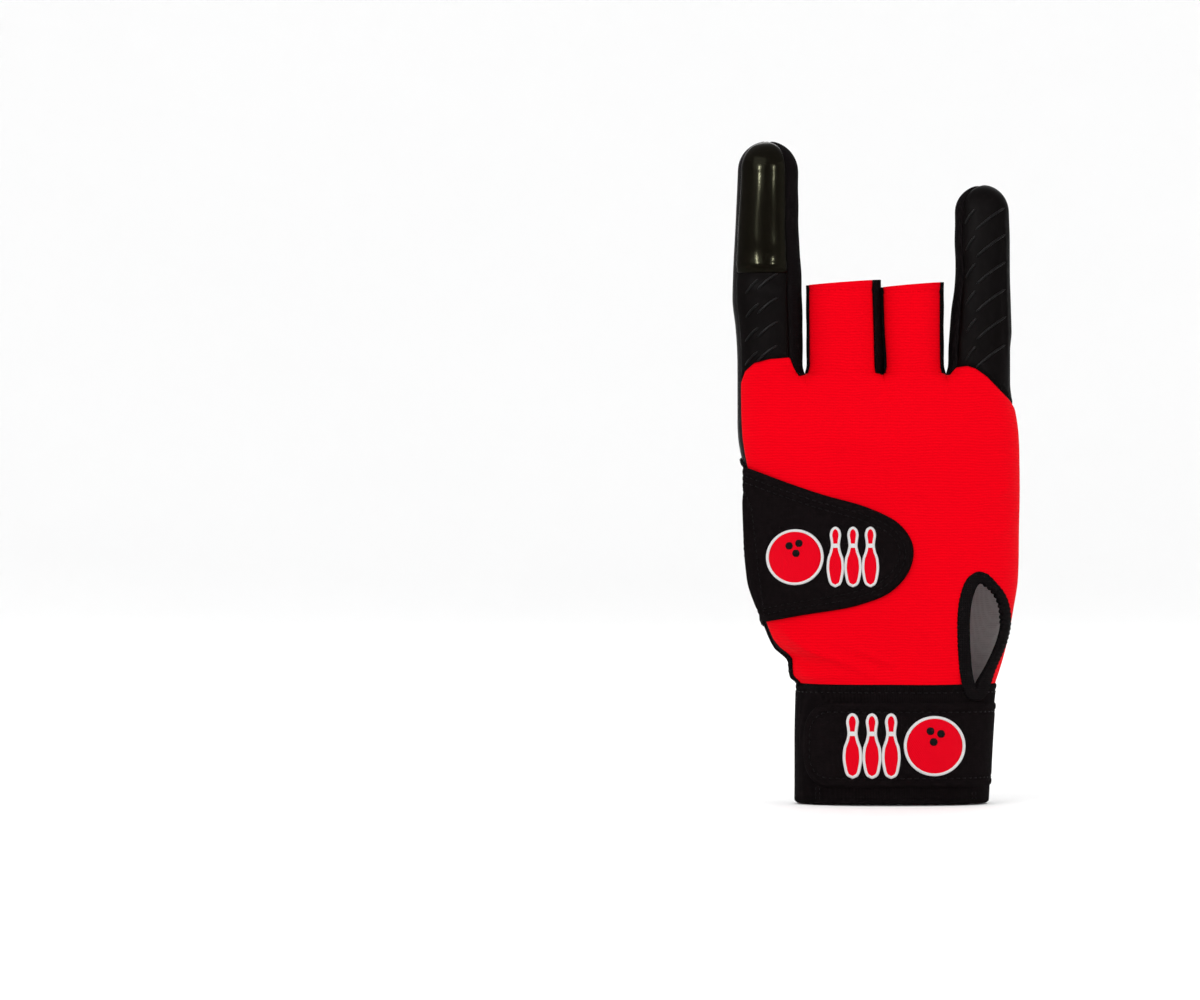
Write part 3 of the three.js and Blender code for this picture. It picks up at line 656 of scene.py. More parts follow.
@dataclass(frozen=True)
class Outline:
    """A closed outline in the (x, z) plane.

    Args:
        points: corners of shape (n, 2).
    """

    points: Array

    def nearest(self, place: Array) -> tuple[Array, Array]:
        """Finds how deep places lie inside the outline, and the nearest point on it.

        Args:
            place: places of shape (m, 2).

        Returns:
            Depths, negative outside, and the nearest points.
        """
        most_pairs, speck = 4_000_000, 1e-12
        start, end = self.points, np.roll(self.points, -1, axis=0)
        along = end - start
        depth, foot = [], []
        for chunk in np.array_split(place, len(place) * len(start) // most_pairs + 1):
            offset = chunk[:, None, :] - start
            share = np.clip((offset * along).sum(-1) / np.maximum((along**2).sum(-1), speck), 0, 1)
            near = start + share[..., None] * along
            distance = np.linalg.norm(chunk[:, None, :] - near, axis=-1)
            best = distance.argmin(axis=1)
            low, high = start[:, 1] <= chunk[:, 1:], end[:, 1] <= chunk[:, 1:]
            rise = np.where(np.abs(along[:, 1]) < speck, speck, along[:, 1])
            cross_x = start[:, 0] + (chunk[:, 1:] - start[:, 1]) / rise * along[:, 0]
            inside = ((low != high) & (chunk[:, :1] < cross_x)).sum(axis=1) % 2
            depth.append(np.where(inside, 1.0, -1.0) * distance[np.arange(len(chunk)), best])
            foot.append(near[np.arange(len(chunk)), best])
        return np.concatenate(depth), np.concatenate(foot)

    def normals(self) -> Array:
        """Returns unit normals at the corners, outwards for a clockwise or an anticlockwise outline."""
        along = unit(np.roll(self.points, -1, axis=0) - np.roll(self.points, 1, axis=0))
        area = np.cross(self.points, np.roll(self.points, -1, axis=0)).sum()
        return np.stack([along[:, 1], -along[:, 0]], axis=-1) * np.sign(area)

    def run(self) -> Array:
        """Returns the distance round the outline to the end of the side that starts at each corner."""
        return np.cumsum(np.linalg.norm(np.diff(self.points, axis=0, append=self.points[:1]), axis=1))


def smooth_loop(corners: Sequence[Sequence[float]], count: int, closed: bool = True) -> Array:
    """Draws a Catmull-Rom curve through corners and resamples it to even steps.

    Args:
        corners: the corners, each as (x, z).
        count: points to return.
        closed: whether the curve is a loop.

    Returns:
        Points of shape (count, 2).
    """
    steps_between = 24
    table = np.asarray(corners, float)
    if closed:
        table = np.concatenate([table[-1:], table, table[:2]])
    else:
        table = np.concatenate([2 * table[:1] - table[1:2], table, 2 * table[-1:] - table[-2:-1]])
    share = np.linspace(0, 1, steps_between, endpoint=False)[:, None, None]
    before, low, high, after = table[:-3], table[1:-2], table[2:-1], table[3:]
    curve = 2 * low + (high - before) * share + (2 * before - 5 * low + 4 * high - after) * share**2
    curve = (curve + (3 * low - before - 3 * high + after) * share**3) / 2
    line = np.moveaxis(curve, 0, 1).reshape(-1, 2)
    line = np.concatenate([line, line[:1] if closed else table[-2:-1]])
    length = arc_length(line)
    steps = np.linspace(0, length[-1], count, endpoint=not closed)
    return places(steps, length, line)


@dataclass(frozen=True)
class Fold:
    """A soft fold of the cloth along a line in the (x, z) plane.

    Args:
        line: corners of the line.
        height: how far it stands out of the surface, negative for a crease.
        width: its half width.
    """

    line: tuple[Pair, ...]
    height: float
    width: float

    def lift(self, points: Array) -> Array:
        """Returns the lift at points: a bell across the line, fading at its ends."""
        line = smooth_loop(self.line, 40, closed=False)
        place = points[..., ::2].reshape(-1, 1, 2)
        distance = np.linalg.norm(place - line, axis=-1)
        best = distance.argmin(axis=1)
        share = best / (len(line) - 1) * 2 - 1
        fade = 1 - np.abs(share) ** 3
        lift = self.height * bell(distance[np.arange(len(best)), best], self.width) * fade
        return lift.reshape(points.shape[:-1])


class Socket:
    """A node's output in a shader expression, which adds its own Math nodes.

    Args:
        paint: the material's node maker.
        output: the output that it stands for.
    """

    def __init__(self, paint: "Paint", output: bpy.types.NodeSocket) -> None:
        self.paint = paint
        self.output = output

    def maths(self, operation: str, *others: Any) -> "Socket":
        """Adds a Math node of this and other values, and returns its result."""
        return self.paint.node("ShaderNodeMath", {"operation": operation}, dict(enumerate([self, *others])))

    def __add__(self, other: Any) -> "Socket":
        """Adds."""
        return self.maths("ADD", other)

    def __sub__(self, other: Any) -> "Socket":
        """Subtracts."""
        return self.maths("SUBTRACT", other)

    def __mul__(self, other: Any) -> "Socket":
        """Multiplies."""
        return self.maths("MULTIPLY", other)

    def wave(self, rate: float) -> "Socket":
        """Returns half the sine of this times a rate, plus a half."""
        return (self * rate).maths("SINE") * 0.5 + 0.5

    def power(self, exponent: float) -> "Socket":
        """Raises to a power."""
        return self.maths("POWER", exponent)

    def clamped(self) -> "Socket":
        """Holds the value between 0 and 1."""
        return self.paint.node("ShaderNodeClamp", {}, {"Value": self})

    def most(self, other: Any) -> "Socket":
        """Returns the greater of two values."""
        return self.maths("MAXIMUM", other)


class Paint:
    """One material and the making of its nodes.

    Args:
        name: the material's name.
    """

    def __init__(self, name: str) -> None:
        self.material = bpy.data.materials.new(name)
        self.material.use_nodes = True
        self.tree = self.material.node_tree
        self.shader = self.tree.nodes["Principled BSDF"]
        self.place = self.node("ShaderNodeTexCoord", {}, {}, "Object")
        self.split = self.node("ShaderNodeSeparateXYZ", {}, {"Vector": self.place})

    def node(self, kind: str, settings: dict, inputs: dict, output: Any = 0) -> Socket:
        """Makes any node.

        Args:
            kind: the node's type.
            settings: its properties, set first.
            inputs: its sockets' values or links, by name or number.
            output: the output to return, by name or number.

        Returns:
            The output as a Socket.
        """
        made = self.tree.nodes.new(kind)
        for name, value in settings.items():
            setattr(made, name, value)
        for name, value in inputs.items():
            self.feed(made.inputs[name], value)
        return Socket(self, made.outputs[output])

    def feed(self, socket: Any, value: Any) -> None:
        """Links or sets one socket; a colour gets its alpha."""
        if isinstance(value, Socket):
            self.tree.links.new(value.output, socket)
        elif hasattr(value, "__len__") and len(value) == 3 and len(socket.default_value) == 4:
            socket.default_value = (*value, 1.0)
        else:
            socket.default_value = value

    def axis(self, name: str) -> Socket:
        """Returns one Object coordinate in millimetres."""
        return Socket(self, self.split.output.node.outputs[name]) * PER_METRE

    def noise(self, scale: float, detail: float = 3.0, rough: float = 0.5) -> Socket:
        """Returns a noise of about 0 to 1; scale is in waves a metre."""
        inputs = {"Vector": self.place, "Scale": scale, "Detail": detail, "Roughness": rough}
        return self.node("ShaderNodeTexNoise", {}, inputs, "Fac")

    def cells(self, scale: float) -> Socket:
        """Returns the distance to the nearest point of a Voronoi texture; scale is in cells a metre."""
        inputs = {"Vector": self.place, "Scale": scale}
        return self.node("ShaderNodeTexVoronoi", {"feature": "F1"}, inputs, "Distance")

    def blend(self, share: Socket, low: Any, high: Any) -> Socket:
        """Mixes two colours by a share."""
        settings = {"data_type": "RGBA", "clamp_factor": True}
        inputs = {MIX_SHARE: share, MIX_LOW: low, MIX_HIGH: high}
        return self.node("ShaderNodeMix", settings, inputs, MIX_RESULT)

    def bump(self, height: Socket, distance: float, strength: float) -> Socket:
        """Returns a normal from a height; distance in millimetres."""
        inputs = {"Height": height, "Distance": distance * MM, "Strength": strength}
        return self.node("ShaderNodeBump", {}, inputs)

    def finish(self, **sockets: Any) -> bpy.types.Material:
        """Feeds the shader's sockets, named with underscores for spaces, and returns the material."""
        for name, value in sockets.items():
            self.feed(self.shader.inputs[name.replace("_", " ")], value)
        return self.material


@dataclass(frozen=True)
class KnitFinish:
    """Fine ribbed knit: ribs across the hand, a dull nap, a little unevenness in the dye, and painted shade
    in the ribs' valleys.
    """

    name: str = "red_rib_knit"
    colour: Triple = (0.755, 0.0004, 0.007)
    # The darker colour: painted shade in the rib valleys, also reached by the dye's darker patches.
    painted_shade_and_tone: Triple = (0.625, 0.0003, 0.0053)
    pitch: float = 0.9
    loops: float = 0.75

    def material(self) -> bpy.types.Material:
        """Returns the material: ribs as the sine of the height, wavering with a slow noise; the colour is
        painted darker in their valleys as shade.
        """
        paint = Paint(self.name)
        waver = paint.noise(60, 2) * 2.4
        rib = (paint.axis("Z") + waver).wave(2 * np.pi / self.pitch)
        loops = (paint.axis("X") + paint.noise(300, 1) * 0.5).wave(2 * np.pi / self.loops)
        fuzz = paint.noise(2600, 4, 0.65)
        cloudy = paint.noise(28, 3)
        # Colour mask: low in the valleys of the ribs and loops, where the darker colour paints shade; the
        # slow cloudy noise is the dye's own unevenness.
        depth = (rib * 0.6 + loops * 0.12 + fuzz * 0.28 + cloudy * 0.3 - 0.2).clamped()
        colour = paint.blend(depth, self.painted_shade_and_tone, self.colour)
        normal = paint.bump(rib * 0.75 + loops * 0.1 + fuzz * 0.35, 0.2, 0.26)
        return paint.finish(
            Base_Color=colour, Roughness=fuzz * 0.2 + 0.68, Normal=normal, Specular_IOR_Level=0.08,
            Specular_Tint=(1.0, 0.05, 0.06),
        )


@dataclass(frozen=True)
class LeatherFinish:
    """Black synthetic leather: small grain cells, creased, dull or glossy."""

    name: str
    colour: Triple
    worn: Triple
    roughness: float
    grain: float
    relief: float
    specular: float
    tint: Triple = (1.0, 1.0, 1.0)

    def material(self) -> bpy.types.Material:
        """Returns the material: Voronoi grain under a slow crease noise, worn where the creases rise."""
        paint = Paint(self.name)
        wander = paint.noise(220, 3)
        grain = paint.cells(self.grain).power(0.7)
        fine = paint.noise(self.grain * 1.7, 4, 0.6)
        crease = paint.noise(70, 5, 0.6)
        wear = ((crease - 0.45) * 3.5).clamped() * wander
        colour = paint.blend(wear * 0.6 + grain * 0.15, self.colour, self.worn)
        normal = paint.bump(grain * 0.5 + fine * 0.25 + crease * 0.8, self.relief, 0.5)
        rough = (wander * 0.3 + grain * 0.15 + 0.8) * self.roughness
        return paint.finish(
            Base_Color=colour, Roughness=rough, Normal=normal, Specular_IOR_Level=self.specular,
            Specular_Tint=self.tint,
        )


@dataclass(frozen=True)
class ClothFinish:
    """Cloth: an over-and-under weave seen through a nap, painted darker in the weave's hollows and lighter
    on its crests.
    """

    name: str
    colour: Triple = (0.0010, 0.0007, 0.0008)
    # The lighter colour: painted light on the raised threads and tufts, partly the nap's own paler fibres.
    painted_crest_light_and_nap: Triple = (0.0060, 0.0043, 0.0047)
    pitch: float = 0.55
    fuzz: float = 0.5
    relief: float = 0.16
    roughness: float = 0.85
    upright: bool = False

    def material(self) -> bpy.types.Material:
        """Returns the material: two sines crossed as a weave, with fine noise over it as nap; the colour
        follows that height, as painted light and shade.
        """
        paint = Paint(self.name)
        rate = 2 * np.pi / self.pitch
        weft = (paint.axis("X") + paint.axis("Y")).wave(rate)
        warp = paint.axis("Z").wave(rate * (0.35 if self.upright else 1.0))
        weave = weft * 0.8 + warp * 0.2 if self.upright else weft.most(warp)
        nap = paint.noise(2400, 5, 0.7)
        tufts = paint.noise(700, 4, 0.6)
        height = weave * (1 - self.fuzz) + (nap * 0.6 + tufts * 0.6) * self.fuzz
        # Painted shade and light: dark in the hollows of the weave and nap, light on their crests; the nap's
        # noise also gives real random tone.
        colour = paint.blend(((height - 0.3) * 1.5).clamped(), self.colour, self.painted_crest_light_and_nap)
        normal = paint.bump(height, self.relief, 0.8)
        return paint.finish(
            Base_Color=colour, Roughness=nap * 0.15 + (self.roughness - 0.08), Normal=normal,
            Specular_IOR_Level=0.02,
        )


@dataclass(frozen=True)
class ThreadFinish:
    """Sewing or embroidery thread: a twist along each thread, a soft gloss, and painted shade between the
    threads.
    """

    name: str
    colour: Triple
    # The darker colour: painted shade in the grooves between threads, also reached by the fibres' random
    # tone.
    painted_shade_and_tone: Triple
    pitch: float
    turn: float = 0.0
    roughness: float = 0.45
    gloss: float = 0.12
    tint: Triple = (1.0, 1.0, 1.0)

    def material(self) -> bpy.types.Material:
        """Returns the material: stripes of thread across a turned axis, broken by fine noise, painted darker
        between the stripes as shade.
        """
        paint = Paint(self.name)
        inputs = {"Vector": paint.place, "Rotation": (0.0, self.turn, 0.0), "Scale": (PER_METRE,) * 3}
        turned = paint.node("ShaderNodeMapping", {}, inputs)
        across = paint.node("ShaderNodeSeparateXYZ", {}, {"Vector": turned})
        stripe = (across + paint.noise(900, 2) * 0.16).wave(2 * np.pi / self.pitch)
        fibre = paint.noise(3500, 3, 0.6)
        # Painted shade: the colour falls to the darker one in the grooves between the thread stripes; the
        # fibre noise adds real random tone.
        colour = paint.blend((stripe * 0.7 + fibre * 0.4).clamped(), self.painted_shade_and_tone, self.colour)
        normal = paint.bump(stripe + fibre * 0.3, 0.09, 0.8)
        return paint.finish(
            Base_Color=colour, Roughness=fibre * 0.2 + (self.roughness - 0.1), Normal=normal,
            Specular_IOR_Level=self.gloss, Specular_Tint=self.tint,
        )


class Finish(Enum):
    """The glove's finishes, each with the class that makes its material."""

    KNIT = KnitFinish()
    KNIT_INSIDE = ClothFinish("red_knit_inside", (0.26, 0.002, 0.005), (0.40, 0.004, 0.01), 0.8, 0.6)
    PALM = LeatherFinish("palm_leather", (0.0034, 0.0028, 0.003), (0.021, 0.018, 0.019), 0.5, 1300, 0.3,
                         0.1)
    PALM_INSIDE = ClothFinish("black_inside", (0.006, 0.005, 0.0055), (0.018, 0.016, 0.017), 0.6, 0.9)
    LINING = ClothFinish("pale_lining", (0.60, 0.59, 0.59), (0.84, 0.83, 0.83), 0.7, 0.7)
    GLOSS = LeatherFinish("tip_gloss", (0.0013, 0.0007, 0.0005), (0.0030, 0.0017, 0.0012), 0.13, 2000, 0.03,
                          0.06, (1.0, 1.0, 0.66))
    GRIP = LeatherFinish("grip_satin", (0.0010, 0.0004, 0.0004), (0.0036, 0.0018, 0.0018), 0.5, 2400, 0.07,
                         0.035)
    GRIP_BAR = LeatherFinish("grip_bar", (0.0016, 0.0012, 0.0012), (0.004, 0.0033, 0.0033), 0.3, 2600, 0.03,
                             0.11)
    GUSSET = ClothFinish("gusset_stretch_cloth", pitch=0.5, fuzz=0.35, relief=0.12, roughness=0.8)
    TAPE = ClothFinish("binding_tape", (0.0010, 0.0008, 0.0009), (0.0068, 0.0052, 0.0056), 0.7, 0.35, 0.16,
                       0.75)
    LOOP = ClothFinish("loop_cloth", (0.0011, 0.0007, 0.0008), (0.0078, 0.0053, 0.0058), 0.9, 0.9, 0.3, 0.9)
    BAND = ClothFinish("band_elastic", (0.0011, 0.0007, 0.0008), (0.0070, 0.0048, 0.0053), 0.8, 0.75, 0.24,
                       0.88, True)
    THREAD = ThreadFinish("black_thread", (0.0072, 0.0058, 0.0062), (0.0015, 0.0012, 0.0013), 0.25,
                          gloss=0.05)
    RED_SATIN = ThreadFinish("red_satin_thread", (0.82, 0.0018, 0.014), (0.48, 0.0007, 0.006), 0.36, 0.9,
                             0.5, 0.08, (1.0, 0.06, 0.08))
    WHITE_SATIN = ThreadFinish("white_satin_thread", (0.76, 0.76, 0.755), (0.46, 0.46, 0.46), 0.36, -0.7)


def smooth_mesh(name: str, points: Array, faces: Any) -> bpy.types.Mesh:
    """Returns a smooth-shaded mesh from points in metres and faces."""
    mesh = bpy.data.meshes.new(name)
    mesh.from_pydata(points.tolist(), [], faces if isinstance(faces, list) else faces.tolist())
    mesh.polygons.foreach_set("use_smooth", np.ones(len(mesh.polygons), bool))
    mesh.update()
    return mesh


def placed(name: str, data: Any) -> bpy.types.Object:
    """Returns a new object of the scene, from its mesh, lamp or camera."""
    made = bpy.data.objects.new(name, data)
    bpy.context.scene.collection.objects.link(made)
    return made


@dataclass
class Workshop:
    """Writes meshes, dresses them and puts them on the frame.

    Args:
        materials: the finishes' materials made so far.
    """

    materials: dict[Finish, bpy.types.Material] = field(default_factory=dict)

    def finish(self, finish: Finish) -> bpy.types.Material:
        """Returns a finish's material, made when it is first asked for."""
        if finish not in self.materials:
            self.materials[finish] = finish.value.material()
        return self.materials[finish]

    def piece(self, name: str, shape: Made, finishes: Sequence[Finish], slot: str,
              replaces: Sequence[str] = (), wall: float = 0.0) -> None:
        """Makes one piece of the glove.

        Args:
            name: the piece's name.
            shape: its points in millimetres, and its faces.
            finishes: its finish, and a second one for the inner side of a wall.
            slot: a material slot's name; not used.
            replaces: the CAD nodes that it stands for.
            wall: thickness that is given to a surface, inwards.
        """
        points, faces = shape
        mesh = smooth_mesh(name, points * MM, faces)
        for finish in finishes:
            mesh.materials.append(self.finish(finish))
        made = placed(name, mesh)
        if wall:
            solid = made.modifiers.new("wall", "SOLIDIFY")
            solid.thickness = wall * MM
            solid.offset = -1.0
            solid.use_even_offset = False
            solid.material_offset = len(finishes) - 1
        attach(made, BODY)
        if replaces:
            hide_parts(*replaces)
        LOG.info("%s: %d points, %d faces", name, len(mesh.vertices), len(mesh.polygons))


@dataclass
class Panels:
    """The knit back, the palm and the black finger pieces, cut from the hand's surface along its seams.

    Args:
        form: the hand's surface.
        shop: makes the pieces.
        spacing: distance between two points of a grid.
        tuck: how far the panels reach down behind the band.
        hem: from a sleeve's mouth to its stitches.
        keyhole_edge: how far outside the keyhole's outline the knit ends.
        thumb_edge: how far outside the thumb hole's outline the palm ends.
        thumb_front: y in front of which the thumb hole cuts nothing.
    """

    form: HandForm
    shop: Workshop
    spacing: float = 0.62
    wall: float = 1.1
    tuck: float = 1.6
    tip_cover: float = 42.9
    tip_raise: float = 0.3
    gusset_puff: Triple = (0.0, 0.55, 0.0)
    seam_depth: float = 0.42
    seam_width: float = 0.75
    hem: float = 2.3
    keyhole_edge: float = 1.3
    thumb_edge: float = 1.2
    thumb_front: float = -3.0
    knit_folds: tuple[Fold, ...] = (
        Fold(((-37.0, 56.5), (-27.2, 49.6), (-16.3, 45.4), (-5.5, 41.2)), 1.25, 1.5),
        Fold(((-39.0, 52.0), (-30.0, 46.0), (-20.0, 42.0)), -0.9, 1.6),
        Fold(((-13.8, 50.2), (-6.0, 46.8), (0.5, 44.0)), 0.8, 1.3),
        Fold(((6.0, 60.0), (12.0, 52.0), (17.0, 44.0)), 0.45, 2.2),
        Fold(((-26.0, 131.0), (-22.0, 121.0), (-16.0, 113.0)), 0.4, 2.6),
        Fold(((-3.4, 133.0), (-2.0, 122.0), (1.0, 112.0)), -0.35, 2.4),
        Fold(((16.8, 132.0), (17.0, 122.0), (14.0, 110.0)), -0.3, 2.2),
        Fold(((38.5, 104.0), (33.0, 98.0), (26.0, 95.0)), 0.5, 2.2),
        Fold(((39.0, 90.0), (33.0, 86.0), (28.0, 85.0)), 0.4, 2.0),
    )

    def turns(self, strip: int, low: float, high: float) -> Array:
        """Returns the angles of a strip's columns between two angles, always with its seams among them."""
        finger = self.form.fingers[strip]
        marks = {-QUARTER, QUARTER, finger.left_seam, finger.right_seam}
        if strip == Finger.INDEX:
            marks.add(self.form.thumb_seam)
        if strip == Finger.LITTLE:
            marks.add(self.form.outer_seam)
        marks = sorted(m for m in marks if low - TINY <= m <= high + TINY)
        step = 2 * self.spacing / finger.width
        parts = []
        for first, last in zip(marks, marks[1:]):
            count = max(2, int(np.ceil((last - first) / step)))
            parts.append(np.linspace(first, last, count + 1)[:-1])
        return np.concatenate([*parts, marks[-1:]])

    def palm_grid(self, strip: int, low: float, high: float, side: int) -> Array:
        """Returns the grid of a strip below the fingers, from under the band up to the knit's edge."""
        turn = self.turns(strip, low, high)
        on_knit = strip != Finger.INDEX or (side < 0 and turn[0] >= self.form.thumb_seam - TINY)
        top = self.form.knit_edge(strip, turn, side if on_knit else Side.PALM)
        share = np.linspace(0, 1, int(self.form.palm_height / self.spacing))[:, None]
        start = self.form.band_height - self.tuck
        return self.form.point(strip, turn[None, :], mix(start, top[None, :], share), side)

    def finger_grid(self, strip: int, low: float, high: float, side: int, top: Optional[float] = None,
                    foot: Optional[float] = None) -> Array:
        """Works out the grid of a finger above the knit's edge.

        Rows start with a short stretch as high as a gusset's drop, so that one row passes the crotch.

        Args:
            strip: the finger strip.
            low: first angle.
            high: last angle.
            side: back or palm.
            top: height of the last row; the finger's top when left out.
            foot: height of the first row; the knit's edge when left out.

        Returns:
            Points of shape (rows, columns, 3).
        """
        turn = self.turns(strip, low, high)
        finger = self.form.fingers[strip]
        start = self.form.knit_edge(strip, turn, side) if foot is None else np.full_like(turn, foot)
        end = np.full_like(turn, self.form.tip(strip) if top is None else top)
        if not finger.closed and top is None:
            end = end + finger.tilt * np.sin(turn) / 2
        short = np.linspace(0, 1, 4)[:-1, None] * self.form.gusset_drop
        rows = int((end.max() - start.min()) / self.spacing)
        share = np.linspace(0, 1, rows)[:, None]
        if finger.closed and top is None:
            share = 1 - (1 - share) ** 1.35
        if foot is None:
            z = np.concatenate([start + short, mix(start + self.form.gusset_drop, end, share)])
        else:
            z = mix(start, end, share)
        return self.form.point(strip, turn[None, :], z, side)

    def seams(self, grid: Array, edges: str) -> Array:
        """Works out the dip of the cloth towards its seams, a bell of the distance along the surface.

        Args:
            grid: points of a grid.
            edges: which edges are seams, of the letters l, r, b and t.

        Returns:
            Lifts of the grid's shape, zero or negative.
        """
        steps_across = np.linalg.norm(np.diff(grid, axis=1), axis=-1)
        steps_up = np.linalg.norm(np.diff(grid, axis=0), axis=-1)
        across = np.pad(np.cumsum(steps_across, axis=1), ((0, 0), (1, 0)))
        up = np.pad(np.cumsum(steps_up, axis=0), ((1, 0), (0, 0)))
        distance = {"l": across, "r": across[:, -1:] - across, "b": up, "t": up[-1:] - up}
        lift = np.zeros(grid.shape[:2])
        for edge in edges:
            lift = np.minimum(lift, -self.seam_depth * bell(distance[edge], self.seam_width))
        return lift

    def calmed(self, grid: Array, lift: Array) -> Array:
        """Returns a lift that fades out beside the crotches, where the columns stand close together."""
        width, begins, gone = 1.2, self.form.crotch - 11, self.form.crotch - 6
        x, z = grid[..., 0], grid[..., 2]
        edges = [self.form.crotch_edges(strip)[1] for strip in (Finger.INDEX, Finger.MIDDLE, Finger.RING)]
        near = np.clip(sum(bell(x - edge, width) for edge in edges), 0, 1)
        return lift * (1 - near * smoothstep(z, begins, gone))

    def back(self, keyhole: Outline) -> None:
        """Makes the knit back with the backs of the two sleeves, open at the keyhole."""
        form, shell = self.form, Shell()
        limits = {Finger.INDEX: (form.thumb_seam, QUARTER)}
        for strip in Finger:
            low, high = limits.get(strip, (-QUARTER, QUARTER))
            grid = self.palm_grid(strip, low, high, Side.BACK)
            lift = self.seams(grid, "l") if strip == Finger.INDEX else np.zeros(grid.shape[:2])
            if strip in (Finger.INDEX, Finger.LITTLE):
                lift = np.minimum(lift, self.seams(grid, "t"))
            shell.add(grid, self.calmed(grid, lift + self.folded(grid)))
        side = self.palm_grid(Finger.LITTLE, form.outer_seam, QUARTER, Side.PALM)
        shell.add(side, self.seams(side, "lt"), flip=True)
        for strip in (Finger.MIDDLE, Finger.RING):
            finger = form.fingers[strip]
            grid = self.finger_grid(strip, finger.left_seam, finger.right_seam, Side.BACK)
            mouth = form.tip(strip) - grid[..., 2]
            lift = self.seams(grid, "lr") - 0.22 * bell(mouth - self.hem, 0.5) + 0.12 * bell(mouth, 1.6)
            shell.add(grid, lift)

        def keep(centres: Array) -> Array:
            """Returns the faces outside the keyhole, whose raw edge the binding hides."""
            depth, _ = keyhole.nearest(centres[:, ::2])
            return (depth < -self.keyhole_edge) | (centres[:, 1] > 0)

        self.shop.piece("back_panel_knit", shell.finished(keep), (Finish.KNIT, Finish.KNIT_INSIDE),
                        "knit_back", ("back_panel",), self.wall)

    def hems(self) -> None:
        """Sews a row of stitches round the mouth of each sleeve."""
        form, parts = self.form, []
        for strip in (Finger.MIDDLE, Finger.RING):
            finger = form.fingers[strip]
            turn = np.linspace(finger.left_seam + 0.12, finger.right_seam - 0.12, 60)
            z = form.tip(strip) + finger.tilt * np.sin(turn) / 2 - self.hem
            normals = form.normal(strip, turn, z)
            parts.append(stitched(form.point(strip, turn, z) - normals * 0.2, normals, 2.0, 1.4, 0.16))
        self.shop.piece("sleeve_hem_stitches", joined(parts), (Finish.KNIT,), "knit_back")

    def finger_place(self, strip: int, x: Array, z: Array) -> Array:
        """Returns the angle on a finger's back at which x lies, at some heights."""
        low = self.form.point(strip, -QUARTER, z)[..., 0]
        high = self.form.point(strip, QUARTER, z)[..., 0]
        return np.arcsin(np.clip(2 * (x - low) / (high - low) - 1, -1, 1))

    def bars(self, name: str, strip: int, heights: Sequence[float],
             ends: Sequence[tuple[float, float, float, float]]) -> None:
        """Makes the raised grip bars of a finger, each a rod along a slightly arched line.

        Args:
            name: the piece's name.
            strip: the finger strip.
            heights: the heights of the rows of bars.
            ends: for each bar of a row, its first x and height above the row, and its last ones.
        """
        half_width, half_height, sag = 0.4, 0.38, 0.5
        share = np.linspace(0, 1, 14)
        table = np.array(ends)
        x = mix(table[:, 0, None], table[:, 2, None], share)
        z = mix(table[:, 1, None], table[:, 3, None], share) + sag * np.sin(share * np.pi)
        x = np.concatenate([x + 0.12 * np.sin(row) for row in heights])
        z = np.concatenate([z + row for row in heights])
        turn = self.finger_place(strip, x, z)
        normals = self.form.normal(strip, turn, z)
        paths = self.form.point(strip, turn, z) + normals * 0.1
        made = rods(paths, normals, half_width, half_height)
        self.shop.piece(name, made, (Finish.GRIP_BAR,), "grip_cloth")

    def grips(self) -> None:
        """Makes the bars of both stalls, in the photograph's rows of a short and a long bar."""
        rows = (166.0, 158.3, 150.6, 142.9)
        self.bars("index_grip_bars", Finger.INDEX, rows,
                  ((-47.2, -3.0, -43.0, 1.6), (-43.6, -1.8, -36.9, 3.6)))
        rows = (187.2, 178.6, 169.8, 161.0, 152.2, 143.2)
        self.bars("little_grip_bars", Finger.LITTLE, rows,
                  ((23.4, -1.8, 26.6, 3.0), (26.4, -4.0, 36.2, 3.6)))

    def folded(self, grid: Array) -> Array:
        """Returns the lift of all the knit's folds, with a slow unevenness of the stretched cloth."""
        lift = sum(fold.lift(grid) for fold in self.knit_folds)
        x, z = grid[..., 0], grid[..., 2]
        return lift + 0.12 * np.sin(x / 7.0 + z / 11.0) * np.sin(z / 6.3 - x / 19.0)

    def palm(self, thumb_hole: Outline) -> None:
        """Makes the palm with the palm sides of the fingers, open at the thumb hole."""
        form, shell = self.form, Shell()
        limits = {Finger.LITTLE: (-QUARTER, form.outer_seam)}
        for strip in Finger:
            low, high = limits.get(strip, (-QUARTER, QUARTER))
            grid = self.palm_grid(strip, low, high, Side.PALM)
            lift = self.creased(grid) + (self.seams(grid, "r") if strip == Finger.LITTLE else 0.0)
            shell.add(grid, self.calmed(grid, lift), flip=True)
        grid = self.palm_grid(Finger.INDEX, -QUARTER, form.thumb_seam, Side.BACK)
        shell.add(grid, self.seams(grid, "r"))
        ends = {
            Finger.INDEX: (-QUARTER, form.fingers[Finger.INDEX].right_seam),
            Finger.LITTLE: (form.fingers[Finger.LITTLE].left_seam, form.outer_seam),
        }
        for strip in Finger:
            finger = form.fingers[strip]
            low, high = ends.get(strip, (finger.left_seam, finger.right_seam))
            grid = self.finger_grid(strip, low, high, Side.PALM)
            edges = {Finger.INDEX: "r"}.get(strip, "lr")
            shell.add(grid, self.seams(grid, edges), flip=True)
        grid = self.index_wrap()
        shell.add(grid, self.seams(grid, "r"))

        def keep(centres: Array) -> Array:
            """Returns the faces outside the thumb hole."""
            depth, _ = thumb_hole.nearest(centres[:, ::2])
            return (depth < -self.thumb_edge) | (centres[:, 1] < self.thumb_front)

        self.shop.piece("palm_panel_leather", shell.finished(keep), (Finish.PALM, Finish.LINING),
                        "palm_leather", ("palm_panel",), self.wall)

